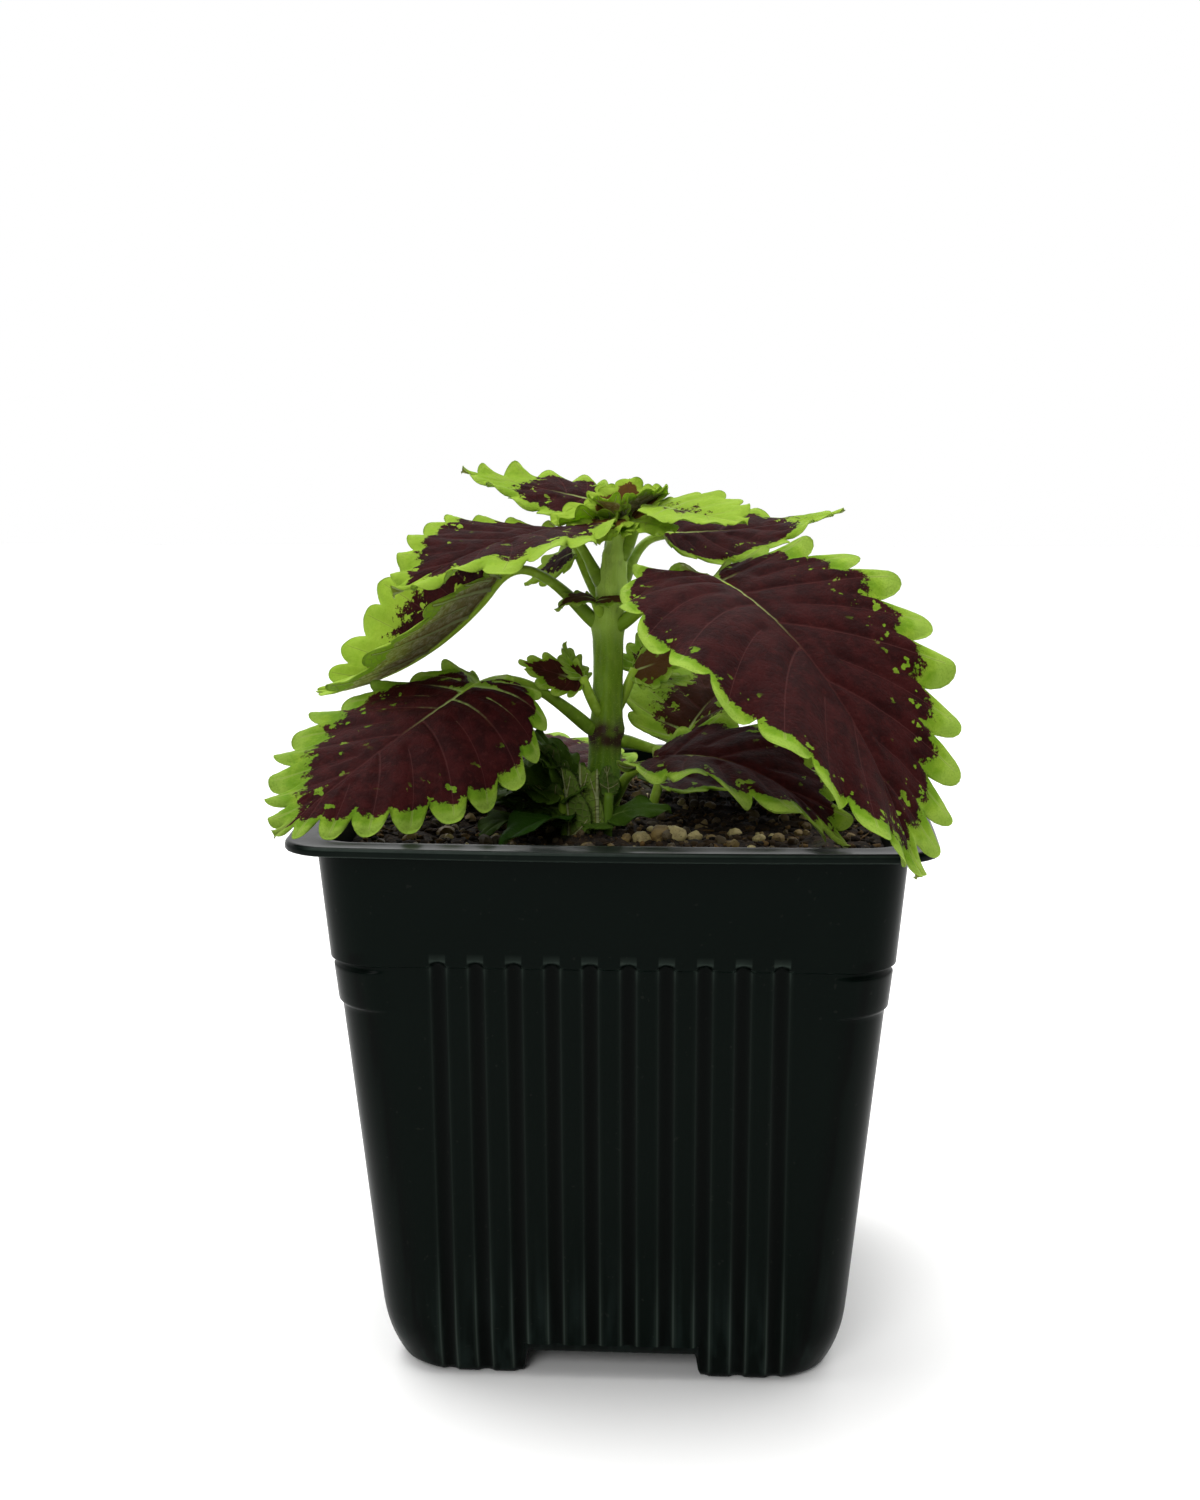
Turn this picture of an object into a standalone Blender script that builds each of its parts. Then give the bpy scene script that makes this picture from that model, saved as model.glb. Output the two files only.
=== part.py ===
"""Potted coleus: a square nursery pot full of potting mix, with one young coleus plant growing in it.

Metres, +Z up. The origin is the middle of the pot's footprint, on the surface that it stands on,
and the front of the pot faces -Y. A heading is an angle in degrees from the front (-Y) towards +X.
"""

import math
import random
from dataclasses import dataclass

import bmesh
import bpy
import numpy as np
from mathutils import Vector, noise

MM = 0.001
GAP = 0.35 * MM  # what stays free between two pieces that touch

# The pot: a thin moulded shell, square with rounded corners and tapering to its foot
POT_HEIGHT = 104 * MM
RIM_HALF = 57 * MM
RIM_LIP = 1.6 * MM
RIM_BOW = 1.6 * MM
WALL = 1.3 * MM
FOOT_HALF = 42.9 * MM
BODY_SLOPE = 0.086  # how far the wall leans out for each metre of height
BAND_BOTTOM = 81 * MM
BAND_STEP = 0.8 * MM
BAND_TOP_HALF = 52.5 * MM
PAD_BOTTOM = 73 * MM
PAD_STEP = 0.6 * MM
BASE_UNDERSIDE = 4.2 * MM
GROOVES = 10
GROOVE_PITCH = 6.7 * MM
GROOVE_WIDTH = 2.9 * MM
GROOVE_DEPTH = 0.7 * MM
GROOVE_TOP = 82.6 * MM
NOTCH_HALF = 16 * MM
PLAIN_STRIP_TOP = 7.1 * MM
DRAIN_HOLE_RADIUS = 4 * MM
DRAIN_HOLE_REACH = 24 * MM

# The potting mix: its top lies a little below the rim, higher towards the back
MIX_FRONT = 96.0 * MM
MIX_BACK = 100.5 * MM
MIX_RELIEF = 1.2 * MM
MIX_RINGS = (1.0, 0.9, 0.78, 0.66, 0.54, 0.42, 0.3, 0.18, 0.07)
GRIT_CHIPS = 26

# The plant
BLADE = 0.7 * MM
STEM_FOOT = 88.5 * MM
STEM_FACE = 2.55 * MM  # from the stem's axis to one of its four flat sides
PETIOLE_RADIUS = 1.15 * MM
STALK_ROUNDNESS = 1
SHOOT_RADIUS = 0.95 * MM
BASAL_RADIUS = 1.3 * MM
FACE_FRONT_RIGHT, FACE_BACK_RIGHT, FACE_BACK_LEFT, FACE_FRONT_LEFT = 45, 135, -135, -45


def clear_scene():
    for obj in list(bpy.data.objects):
        bpy.data.objects.remove(obj, do_unlink=True)


def new_collection(name):
    collection = bpy.data.collections.new(name)
    bpy.context.scene.collection.children.link(collection)
    return collection


clear_scene()
PARTS = new_collection("potted_coleus")
CUTTERS = new_collection("cutters")
CUTTERS.hide_render = True
HOLES = new_collection("mix_holes")
HOLES.hide_render = True


def principled(name, colour, roughness):
    material = bpy.data.materials.new(name)
    material.use_nodes = True
    shader = material.node_tree.nodes["Principled BSDF"]
    shader.inputs["Base Color"].default_value = (*colour, 1)
    shader.inputs["Roughness"].default_value = roughness
    shader.inputs["Metallic"].default_value = 0
    material.diffuse_color = (*colour, 1)
    return material


BLACK_PLASTIC = principled("black_plastic", (0.012, 0.016, 0.014), 0.35)
PEAT = principled("peat", (0.05, 0.035, 0.022), 0.95)
GREEN_STEM = principled("green_stem", (0.12, 0.22, 0.04), 0.5)
MAROON_LEAF = principled("maroon_leaf", (0.09, 0.015, 0.03), 0.6)
LIME_LEAF = principled("lime_leaf", (0.3, 0.5, 0.05), 0.55)
BROWN_LEAF = principled("brown_leaf", (0.12, 0.05, 0.03), 0.7)


def object_from_bmesh(name, mesh_data, collection, material=None):
    bmesh.ops.recalc_face_normals(mesh_data, faces=mesh_data.faces)
    mesh = bpy.data.meshes.new(name)
    mesh_data.to_mesh(mesh)
    mesh_data.free()
    if material:
        mesh.materials.append(material)
    obj = bpy.data.objects.new(name, mesh)
    collection.objects.link(obj)
    return obj


def cutter_from_bmesh(name, mesh_data, collection=CUTTERS):
    obj = object_from_bmesh(name, mesh_data, collection)
    obj.hide_render = True
    obj.display_type = "WIRE"
    return obj


def apply_modifiers(obj):
    """Bake the object's modifiers into a mesh of its own."""
    graph = bpy.context.evaluated_depsgraph_get()
    baked = bpy.data.meshes.new_from_object(obj.evaluated_get(graph))
    old = obj.data
    obj.modifiers.clear()
    obj.data = baked
    bpy.data.meshes.remove(old)


def mesh_from_curve(curve_object):
    """Turn a curve into a closed mesh object with the same name, its caps welded on."""
    graph = bpy.context.evaluated_depsgraph_get()
    mesh = bpy.data.meshes.new_from_object(curve_object.evaluated_get(graph))
    welded = bmesh.new()
    welded.from_mesh(mesh)
    bmesh.ops.remove_doubles(welded, verts=welded.verts, dist=0.00001)
    bmesh.ops.recalc_face_normals(welded, faces=welded.faces)
    welded.to_mesh(mesh)
    welded.free()
    name = curve_object.name
    matrix = curve_object.matrix_world.copy()
    bpy.data.objects.remove(curve_object, do_unlink=True)
    obj = bpy.data.objects.new(name, mesh)
    obj.matrix_world = matrix
    PARTS.objects.link(obj)
    return obj


def fuse(name, pieces, material):
    """Join overlapping pieces into one solid by one Boolean union on a collection."""
    body, others = pieces[0], pieces[1:]
    if others:
        loose = new_collection("loose_" + name)
        for piece in others:
            PARTS.objects.unlink(piece)
            loose.objects.link(piece)
        union = body.modifiers.new("union", "BOOLEAN")
        union.operation = "UNION"
        union.operand_type = "COLLECTION"
        union.collection = loose
        union.solver = "MANIFOLD"
        apply_modifiers(body)
        for piece in others:
            bpy.data.objects.remove(piece, do_unlink=True)
        bpy.data.collections.remove(loose)
    body.name = name
    body.data.name = name
    body.data.materials.clear()
    body.data.materials.append(material)
    body.data.shade_smooth()
    body.data.set_sharp_from_angle(angle=math.radians(35))
    return body


def loft(rings):
    """A closed bmesh through rings with the same number of points, capped at both ends."""
    shape = bmesh.new()
    levels = [[shape.verts.new(point) for point in ring] for ring in rings]
    count = len(levels[0])
    for lower, upper in zip(levels, levels[1:]):
        for i in range(count):
            j = (i + 1) % count
            shape.faces.new((lower[i], lower[j], upper[j], upper[i]))
    shape.faces.new(levels[0][::-1])
    shape.faces.new(levels[-1])
    return shape


# Pot

SIDE_STOPS = (-0.9, -0.35, 0.35, 0.9)
CORNER_STEPS = 4


def rounded_square(half, radius, z, bow=0.0, pad=0.0):
    """One level of the pot: each side may bow out, and each corner may stand proud by a pad."""
    ring = []
    for quarter in range(4):
        turn = quarter * math.pi / 2
        straight = half - radius
        side = [(stop * straight, -half - bow * (1 - stop * stop)) for stop in SIDE_STOPS]
        corner = []
        for step in range(CORNER_STEPS + 1):
            angle = math.pi / 2 * (step / CORNER_STEPS - 1)
            reach = radius + (pad if 0 < step < CORNER_STEPS else 0)
            corner.append((straight + reach * math.cos(angle), -straight + reach * math.sin(angle)))
        for x, y in side + corner:
            ring.append((
                x * math.cos(turn) - y * math.sin(turn),
                x * math.sin(turn) + y * math.cos(turn),
                z,
            ))
    return ring


def body_half(z):
    """Half the width of the pot's tapering body at a height."""
    return FOOT_HALF + BODY_SLOPE * z


def band_half(z):
    """Half the width of the plain band above the step."""
    share = (z - BAND_BOTTOM) / (POT_HEIGHT - BAND_BOTTOM)
    return (1 - share) * (body_half(BAND_BOTTOM) + BAND_STEP) + share * BAND_TOP_HALF


def inside_rings(inset, drop, top, top_radius):
    """The pot's inner face from the floor up; the potting mix follows it a little further in."""
    floor = BASE_UNDERSIDE + WALL - drop
    return [
        rounded_square(body_half(floor) - inset - 1.6 * MM, 9.2 * MM, floor),
        rounded_square(body_half(floor + 2 * MM) - inset, 9.8 * MM, floor + 2 * MM),
        rounded_square(body_half(BAND_BOTTOM) - inset, 8.2 * MM, BAND_BOTTOM - 0.4 * MM - drop),
        rounded_square(band_half(BAND_BOTTOM) - inset, 8.1 * MM, BAND_BOTTOM + 0.5 * MM - drop),
        rounded_square(band_half(top) - inset, top_radius, top),
    ]


def pot_shell():
    lip_under = POT_HEIGHT - RIM_LIP
    flange_under = POT_HEIGHT - 1.0 * MM
    outside = [
        rounded_square(FOOT_HALF - 2.6 * MM, 10 * MM, BASE_UNDERSIDE),
        rounded_square(FOOT_HALF - 2.2 * MM, 10.5 * MM, 0),
        rounded_square(FOOT_HALF - 0.7 * MM, 12 * MM, 0),
        rounded_square(FOOT_HALF, 12 * MM, 0.9 * MM),
        rounded_square(body_half(PAD_BOTTOM), 10 * MM, PAD_BOTTOM - 0.6 * MM),
        rounded_square(body_half(PAD_BOTTOM), 10 * MM, PAD_BOTTOM, pad=PAD_STEP),
        rounded_square(body_half(BAND_BOTTOM), 9.5 * MM, BAND_BOTTOM - 0.9 * MM, pad=PAD_STEP),
        rounded_square(body_half(BAND_BOTTOM), 9.5 * MM, BAND_BOTTOM),
        rounded_square(band_half(BAND_BOTTOM), 9.4 * MM, BAND_BOTTOM + 0.5 * MM),
        rounded_square(band_half(flange_under), 9 * MM, flange_under - 0.8 * MM),
        rounded_square(band_half(flange_under) + 0.8 * MM, 9 * MM, flange_under, RIM_BOW / 2),
    ]
    rim = [
        rounded_square(RIM_HALF - 1.1 * MM, 8.5 * MM, flange_under, RIM_BOW),
        rounded_square(RIM_HALF - 0.9 * MM, 8.7 * MM, lip_under, RIM_BOW),
        rounded_square(RIM_HALF, 9 * MM, lip_under + 0.2 * MM, RIM_BOW),
        rounded_square(RIM_HALF, 9 * MM, POT_HEIGHT - 0.4 * MM, RIM_BOW),
        rounded_square(RIM_HALF - 0.4 * MM, 8.7 * MM, POT_HEIGHT, RIM_BOW),
        rounded_square(BAND_TOP_HALF - WALL + 0.5 * MM, 8.3 * MM, POT_HEIGHT, RIM_BOW / 2),
    ]
    inside = inside_rings(WALL, 0, POT_HEIGHT - 0.8 * MM, 8 * MM)
    return loft(outside + rim + inside[::-1])


def groove_cutter(offset, side):
    """A round-topped bar that leaves one groove: a turned capsule laid along the sloping wall."""
    radius = (GROOVE_WIDTH**2 / 4 + GROOVE_DEPTH**2) / (2 * GROOVE_DEPTH)
    sides = 10
    bottom, dome = -3 * MM, GROOVE_TOP - radius
    rings = []
    for level, reach in (
        (bottom, radius),
        (dome, radius),
        (dome + 0.8 * radius, 0.6 * radius),
    ):
        ring = []
        for i in range(sides):
            angle = 2 * math.pi * i / sides
            axis_y = -(body_half(level) + radius - GROOVE_DEPTH)
            ring.append((offset + reach * math.cos(angle), axis_y + reach * math.sin(angle), level))
        rings.append(ring)
    cutter = cutter_from_bmesh(f"groove_{side}_{offset * 1000:.0f}", loft(rings))
    cutter.rotation_euler.z = side * math.pi / 2
    return cutter


def box_cutter(name, low, high, side):
    shape = bmesh.new()
    bmesh.ops.create_cube(shape, size=1)
    for vert in shape.verts:
        vert.co = [low[k] if vert.co[k] < 0 else high[k] for k in range(3)]
    cutter = cutter_from_bmesh(name, shape)
    cutter.rotation_euler.z = side * math.pi / 2
    return cutter


def notch_cutter(side):
    """The drainage notch in the bottom edge, a little wider at the bottom."""
    rings = []
    for y in (-FOOT_HALF - 5 * MM, -FOOT_HALF + 6 * MM):
        rings.append([
            (-NOTCH_HALF - 0.6 * MM, y, -1 * MM),
            (NOTCH_HALF + 0.6 * MM, y, -1 * MM),
            (NOTCH_HALF - 0.4 * MM, y, BASE_UNDERSIDE - 0.5 * MM),
            (NOTCH_HALF - 1.2 * MM, y, BASE_UNDERSIDE - 0.05 * MM),
            (-NOTCH_HALF + 1.2 * MM, y, BASE_UNDERSIDE - 0.05 * MM),
            (-NOTCH_HALF + 0.4 * MM, y, BASE_UNDERSIDE - 0.5 * MM),
        ])
    cutter = cutter_from_bmesh(f"notch_{side}", loft(rings))
    cutter.rotation_euler.z = side * math.pi / 2
    return cutter


def drain_hole_cutter(name, x, y):
    shape = bmesh.new()
    bmesh.ops.create_cone(
        shape, cap_ends=True, segments=12, depth=10 * MM,
        radius1=DRAIN_HOLE_RADIUS, radius2=DRAIN_HOLE_RADIUS,
    )
    cutter = cutter_from_bmesh(name, shape)
    cutter.location = (x, y, BASE_UNDERSIDE)
    return cutter


def build_pot():
    pot = object_from_bmesh("pot", pot_shell(), PARTS, BLACK_PLASTIC)
    for side in range(4):
        for i in range(GROOVES):
            groove_cutter((i - (GROOVES - 1) / 2) * GROOVE_PITCH, side)
        strip_outer = -body_half(PLAIN_STRIP_TOP) - 5 * MM
        strip_inner = -body_half(0) + GROOVE_DEPTH - 0.1 * MM
        box_cutter(
            f"plain_strip_{side}",
            (-NOTCH_HALF, strip_outer, -2 * MM),
            (NOTCH_HALF, strip_inner, PLAIN_STRIP_TOP),
            side,
        )
        notch_cutter(side)
        angle = math.radians(45 + 90 * side)
        drain_hole_cutter(
            f"drain_{side}",
            DRAIN_HOLE_REACH * math.cos(angle) * math.sqrt(2),
            DRAIN_HOLE_REACH * math.sin(angle) * math.sqrt(2),
        )
    drain_hole_cutter("drain_middle", 0, 0)
    cut = pot.modifiers.new("grooves_notches_drains", "BOOLEAN")
    cut.operation = "DIFFERENCE"
    cut.operand_type = "COLLECTION"
    cut.collection = CUTTERS
    cut.solver = "MANIFOLD"
    pot.data.shade_smooth()
    pot.data.set_sharp_from_angle(angle=math.radians(30))
    return pot


# Stem

# Axis of the main stem: it leans a little and is swollen at each node
STEM_AXIS = (
    ((-4.8, -7.2, 88.5), 1.25),
    ((-4.3, -6.8, 97.0), 1.22),
    ((-3.6, -6.2, 103.0), 1.18),
    ((-3.1, -4.6, 112.0), 1.08),
    ((-2.9, -4.0, 117.0), 1.16),
    ((-2.7, -3.0, 121.0), 1.02),
    ((-2.6, -1.4, 129.0), 1.00),
    ((-2.7, -0.2, 135.0), 1.04),
    ((-2.7, 0.0, 138.0), 1.10),
    ((-2.2, 0.0, 142.0), 1.00),
    ((-1.9, 0.0, 146.0), 0.98),
    ((-1.3, 0.0, 150.5), 0.80),
    ((-0.9, 0.2, 154.6), 0.62),
)


def stem_at(height):
    """The stem's middle and its distance to a flat side at a height."""
    heights = [point[2] for point, _ in STEM_AXIS]
    x = np.interp(height / MM, heights, [point[0] for point, _ in STEM_AXIS]) * MM
    y = np.interp(height / MM, heights, [point[1] for point, _ in STEM_AXIS]) * MM
    swell = np.interp(height / MM, heights, [swell for _, swell in STEM_AXIS])
    return Vector((x, y, height)), STEM_FACE * swell


def direction(heading, slope=0.0):
    """Unit vector for a heading from the front (-Y) towards +X and a slope above the level."""
    h, s = math.radians(heading), math.radians(slope)
    return Vector((math.sin(h) * math.cos(s), -math.cos(h) * math.cos(s), math.sin(s)))


def stem_ring(height, extra=0.0):
    """The stem's section: a square with cut corners, its flat sides facing the four leaf rows."""
    middle, face = stem_at(height)
    face += extra
    half_flat = 0.62 * face
    ring = []
    for heading in (FACE_FRONT_LEFT, FACE_FRONT_RIGHT, FACE_BACK_RIGHT, FACE_BACK_LEFT):
        out, along = direction(heading), direction(heading + 90)
        ring.append(middle + out * face - along * half_flat)
        ring.append(middle + out * face + along * half_flat)
    return ring


def build_stem():
    rings = [stem_ring(point[2] * MM) for point, _ in STEM_AXIS]
    stem = object_from_bmesh("main_stem", loft(rings), PARTS, GREEN_STEM)
    stem.data.shade_smooth()
    return stem


# Leaves


@dataclass
class Blade:
    """A leaf blade: an egg-shaped toothed outline bent in space along its midrib.

    Lengths in millimetres, angles in degrees. The midrib starts at base, heads for heading and
    slopes by rise, and by its tip it has turned by turn and slopes by fall. half_width and the
    flat outline are shares of length. roll tips the blade round its midrib, left half up, and
    twist adds to it by the tip. fold is the slope of the left and of the right half, and curl
    what each adds to its slope on the way to the margin.
    """

    base: tuple
    heading: float
    turn: float
    rise: float
    fall: float
    length: float
    half_width: float = 0.42
    roll: float = 0.0
    twist: float = 0.0
    fold: tuple = (0.0, 0.0)
    curl: tuple = (-10.0, -10.0)
    lobe: float = 1.0
    teeth: int = 9
    tooth: float = 2.6
    ruffle: tuple = (0.5, 0.5)

    def midrib(self):
        """Shares, points and slopes along the midrib, by summing short steps."""
        share = np.linspace(0, 1, 41)
        heading = np.radians(self.heading + self.turn * share)
        slope = np.radians(self.rise + (self.fall - self.rise) * share)
        ways = np.stack([
            np.sin(heading) * np.cos(slope),
            -np.cos(heading) * np.cos(slope),
            np.sin(slope),
        ], axis=1)
        steps = (ways[1:] + ways[:-1]) / 2 * self.length / (len(share) - 1)
        points = np.vstack([np.zeros(3), np.cumsum(steps, axis=0)]) + np.array(self.base)
        return share, points, ways

    def outline(self, around):
        """Flat outline from the base (0) round one side to the tip (1)."""
        angle = np.pi * around
        along = 0.5 * (1 - np.cos(angle)) - self.lobe * around * (1 - around) ** 6
        across = np.sin(angle) ** 0.9 * (1 + 0.25 * np.cos(angle)) * (1 - around**4)
        return along, self.half_width * across

    def place(self, along, across, lift=0.0):
        """Points in space for places on the flat blade; lift is along the surface's normal."""
        along, across = np.asarray(along, float), np.asarray(across, float)
        share, points, ways = self.midrib()
        held = np.clip(along, 0, 1)
        origin = np.stack([np.interp(held, share, points[:, k]) for k in range(3)], axis=1)
        way = np.stack([np.interp(held, share, ways[:, k]) for k in range(3)], axis=1)
        way /= np.linalg.norm(way, axis=1, keepdims=True)
        origin += way * ((along - held) * self.length)[:, None]
        heading = np.radians(self.heading + self.turn * held)
        left = np.stack([np.cos(heading), np.sin(heading), np.zeros_like(heading)], axis=1)
        up = np.cross(way, left)
        roll = np.radians(self.roll + self.twist * held)[:, None]
        left, up = left * np.cos(roll) + up * np.sin(roll), up * np.cos(roll) - left * np.sin(roll)
        is_left = across >= 0
        hand = np.where(is_left, 1.0, -1.0)
        fold = np.where(is_left, self.fold[0], self.fold[1])
        curl = np.where(is_left, self.curl[0], self.curl[1])
        reach = np.abs(across) / self.half_width
        chord = np.radians(fold + curl * reach / 2)[:, None]
        local = np.radians(fold + curl * reach)[:, None]
        hand = hand[:, None]
        out = left * hand * np.cos(chord) + up * np.sin(chord)
        normal = up * np.cos(local) - left * hand * np.sin(local)
        distance = (np.abs(across) * self.length)[:, None]
        lift = np.broadcast_to(np.asarray(lift, float), along.shape)[:, None]
        return origin + out * distance + normal * lift

    def margin(self, side, around, share):
        """Flat place, and ruffle, at a share of the way from the midrib to the margin."""
        root = around**2
        along, across = self.outline(around)
        ruffle = self.ruffle[0 if side > 0 else 1]
        wave = math.sin(math.pi * self.teeth * around + (0.6 if side > 0 else 2.1))
        lift = ruffle * share**3 * math.sin(math.pi * around) ** 0.5 * wave
        flat = root + (along - root) * share, across * share
        return flat[0], side * flat[1], lift

    def notch_share(self, around):
        """How far out the cut between two teeth reaches."""
        along, across = self.outline(around)
        reach = math.hypot(along - around**2, across) * self.length
        return 1 - min(0.33, self.tooth / max(reach, 0.1))


def blade_bmesh(blade, rows=(0.45, 0.8)):
    """The closed toothed blade: both faces split alike, and a narrow edge between them."""
    flat, index = [], {}

    def vertex(key, point):
        if key not in index:
            index[key] = len(flat)
            flat.append(point)
        return index[key]

    def spot(side, row, station):
        around = station / blade.teeth
        if station in (0, blade.teeth):
            return vertex(("end", station), (1.0 if station else 0.0, 0.0, 0.0))
        if row == 0:
            return vertex(("midrib", station), (around**2, 0.0, 0.0))
        share = blade.notch_share(around) * (rows + (1.0,))[row - 1]
        return vertex((side, row, station), blade.margin(side, around, share))

    triangles, edge = [], []
    last = len(rows) + 1
    for side in (1, -1):
        rim = [spot(side, last, 0)]
        found = []
        for station in range(blade.teeth):
            for row in range(last - 1):
                a, b = spot(side, row, station), spot(side, row, station + 1)
                c, d = spot(side, row + 1, station + 1), spot(side, row + 1, station)
                found += [(a, b, c), (a, c, d)]
            inner_a, inner_b = spot(side, last - 1, station), spot(side, last - 1, station + 1)
            outer_a, outer_b = spot(side, last, station), spot(side, last, station + 1)
            first = vertex((side, "lobe", station, 0), blade.margin(side, (station + 0.3) / blade.teeth, 1.0))
            second = vertex((side, "lobe", station, 1), blade.margin(side, (station + 0.72) / blade.teeth, 1.0))
            found += [
                (inner_a, first, outer_a),
                (inner_a, inner_b, first),
                (inner_b, second, first),
                (inner_b, outer_b, second),
            ]
            rim += [first, second, outer_b]
        found = [t for t in found if len(set(t)) == 3]
        if side > 0:
            triangles += found
            edge += rim
        else:
            triangles += [t[::-1] for t in found]
            edge += rim[::-1][1:-1]
    spots = np.array(flat)
    half = BLADE / MM / 2
    faces = []
    shape = bmesh.new()
    top = blade.place(spots[:, 0], spots[:, 1], spots[:, 2] + half) * MM
    bottom = blade.place(spots[:, 0], spots[:, 1], spots[:, 2] - half) * MM
    top_verts = [shape.verts.new(point) for point in top]
    bottom_verts = [shape.verts.new(point) for point in bottom]
    for triangle in triangles:
        faces.append([top_verts[i] for i in triangle])
        faces.append([bottom_verts[i] for i in reversed(triangle)])
    for i, j in zip(edge, edge[1:] + edge[:1]):
        faces.append((top_verts[i], bottom_verts[i], bottom_verts[j]))
        faces.append((top_verts[i], bottom_verts[j], top_verts[j]))
    for face in faces:
        shape.faces.new(face)
    return shape


def bezier(points, share):
    """A point on a Bezier curve of any number of control points."""
    points = [Vector(point) for point in points]
    while len(points) > 1:
        points = [a.lerp(b, share) for a, b in zip(points, points[1:])]
    return points[0]


def stalk(name, controls, radius_start, radius_end, steps=6):
    """A tapering round stalk that starts straight and goes on along a Bezier curve; closed."""
    start, second = Vector(controls[0]), Vector(controls[1])
    straight = start + (second - start).normalized() * 0.7 * MM
    points = [start] + [bezier([straight] + list(controls[1:]), i / steps) for i in range(steps + 1)]
    curve = bpy.data.curves.new(name, "CURVE")
    curve.dimensions = "3D"
    curve.bevel_depth = 1.0
    curve.bevel_resolution = STALK_ROUNDNESS
    curve.use_fill_caps = True
    spline = curve.splines.new("POLY")
    spline.points.add(len(points) - 1)
    for i, (place, point) in enumerate(zip(points, spline.points)):
        point.co = (*place, 1)
        point.radius = radius_start + (radius_end - radius_start) * i / (len(points) - 1)
    obj = bpy.data.objects.new(name, curve)
    PARTS.objects.link(obj)
    return mesh_from_curve(obj)


def leaf_from_stem(name, node_height, face_heading, blade, material, radius=PETIOLE_RADIUS):
    """A leaf with its petiole, which starts square to one flat side of the main stem."""
    middle, face = stem_at(node_height)
    out = direction(face_heading)
    start = middle + out * (face + GAP)
    base = Vector(blade.base) * MM
    span = (base - start).length
    ahead = Vector(blade.place([0.12], [0.0], -0.4)[0]) * MM
    under = Vector(blade.place([-0.04], [0.0], -0.7)[0]) * MM
    behind = under - (ahead - under).normalized() * 0.3 * span
    controls = (start, start + out * 0.3 * span, behind, under, ahead)
    petiole = stalk(name + "_petiole", controls, radius, 0.55 * radius)
    plate = object_from_bmesh(name + "_blade", blade_bmesh(blade), PARTS)
    return fuse(name, [plate, petiole], material)


LEAVES = {
    "leaf_low_right": (104, FACE_FRONT_RIGHT, Blade(
        base=(7, -24, 114.5), heading=57, turn=11, rise=17, fall=-54, length=44, half_width=0.36,
        roll=3, fold=(16, 0), curl=(-3, -8), lobe=1.6, teeth=8, ruffle=(0.8, 1.6))),
    "leaf_low_back_left": (104, FACE_BACK_LEFT, Blade(
        base=(-14, 7, 106.2), heading=-152, turn=-12, rise=3, fall=-1, length=64.5, half_width=0.4,
        roll=2, fold=(0, 0), curl=(-4, -4), teeth=10, ruffle=(0.4, 0.4))),
    "leaf_second_left": (117, FACE_FRONT_LEFT, Blade(
        base=(-26.3, -16.5, 128), heading=-40, turn=2, rise=-21, fall=-28, length=54.5,
        half_width=0.43, roll=-2, twist=-12, fold=(-2, -1), curl=(-50, -6), lobe=1.8, teeth=10,
        ruffle=(0.8, 0.8))),
    "leaf_second_back": (117, FACE_BACK_RIGHT, Blade(
        base=(12, 1, 113.5), heading=156, turn=-8, rise=36, fall=-14, length=44, half_width=0.4,
        fold=(28, 30), curl=(-10, -20), teeth=9, ruffle=(0.8, 0.8))),
    "leaf_third_right": (137.5, FACE_FRONT_RIGHT, Blade(
        base=(17.6, -17, 148), heading=30, turn=18, rise=-9, fall=-71, length=77,
        half_width=0.345, roll=4, twist=-21, fold=(8, 13), curl=(14, -42), lobe=1.6, teeth=12,
        tooth=3.2, ruffle=(0.6, 1.3))),
    "leaf_third_left": (137.5, FACE_BACK_LEFT, Blade(
        base=(-24, -3.5, 147), heading=-113, turn=-6, rise=-52, fall=-8, length=53,
        half_width=0.42, roll=-42, fold=(38, 31), curl=(5, -3), lobe=0.6, teeth=10,
        ruffle=(0.8, 0.8))),
    "leaf_fourth_left": (145, FACE_FRONT_LEFT, Blade(
        base=(-11.5, -1.5, 156), heading=-32, turn=-24, rise=0, fall=-29, length=43.7,
        half_width=0.43, roll=5, twist=-16, fold=(10, 5), curl=(6, 7), lobe=1.2, teeth=9,
        ruffle=(1.2, 0.8))),
    "leaf_fourth_right": (145, FACE_BACK_RIGHT, Blade(
        base=(8, 9, 155), heading=115, turn=-28, rise=-2, fall=15, length=38, half_width=0.36,
        roll=8, twist=-32, fold=(18, -23), curl=(0, -9), lobe=0.5, teeth=8, ruffle=(0.6, 0.8))),
    "leaf_top_left": (151.5, FACE_BACK_LEFT, Blade(
        base=(-4.5, 7, 161), heading=-113, turn=12, rise=11, fall=11, length=31,
        half_width=0.31, roll=-14, twist=25, fold=(0, 12), curl=(-6, -3), lobe=0.5, teeth=7,
        tooth=1.8, ruffle=(0.5, 0.5))),
    "leaf_top_right": (151.5, FACE_FRONT_RIGHT, Blade(
        base=(6.5, -1, 160.5), heading=50, turn=-2, rise=-8, fall=-6, length=23.5,
        half_width=0.41, roll=7, twist=6, fold=(12, 5), curl=(-2, -4), lobe=0.4, teeth=6,
        tooth=1.6, ruffle=(0.4, 0.4))),
}

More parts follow.
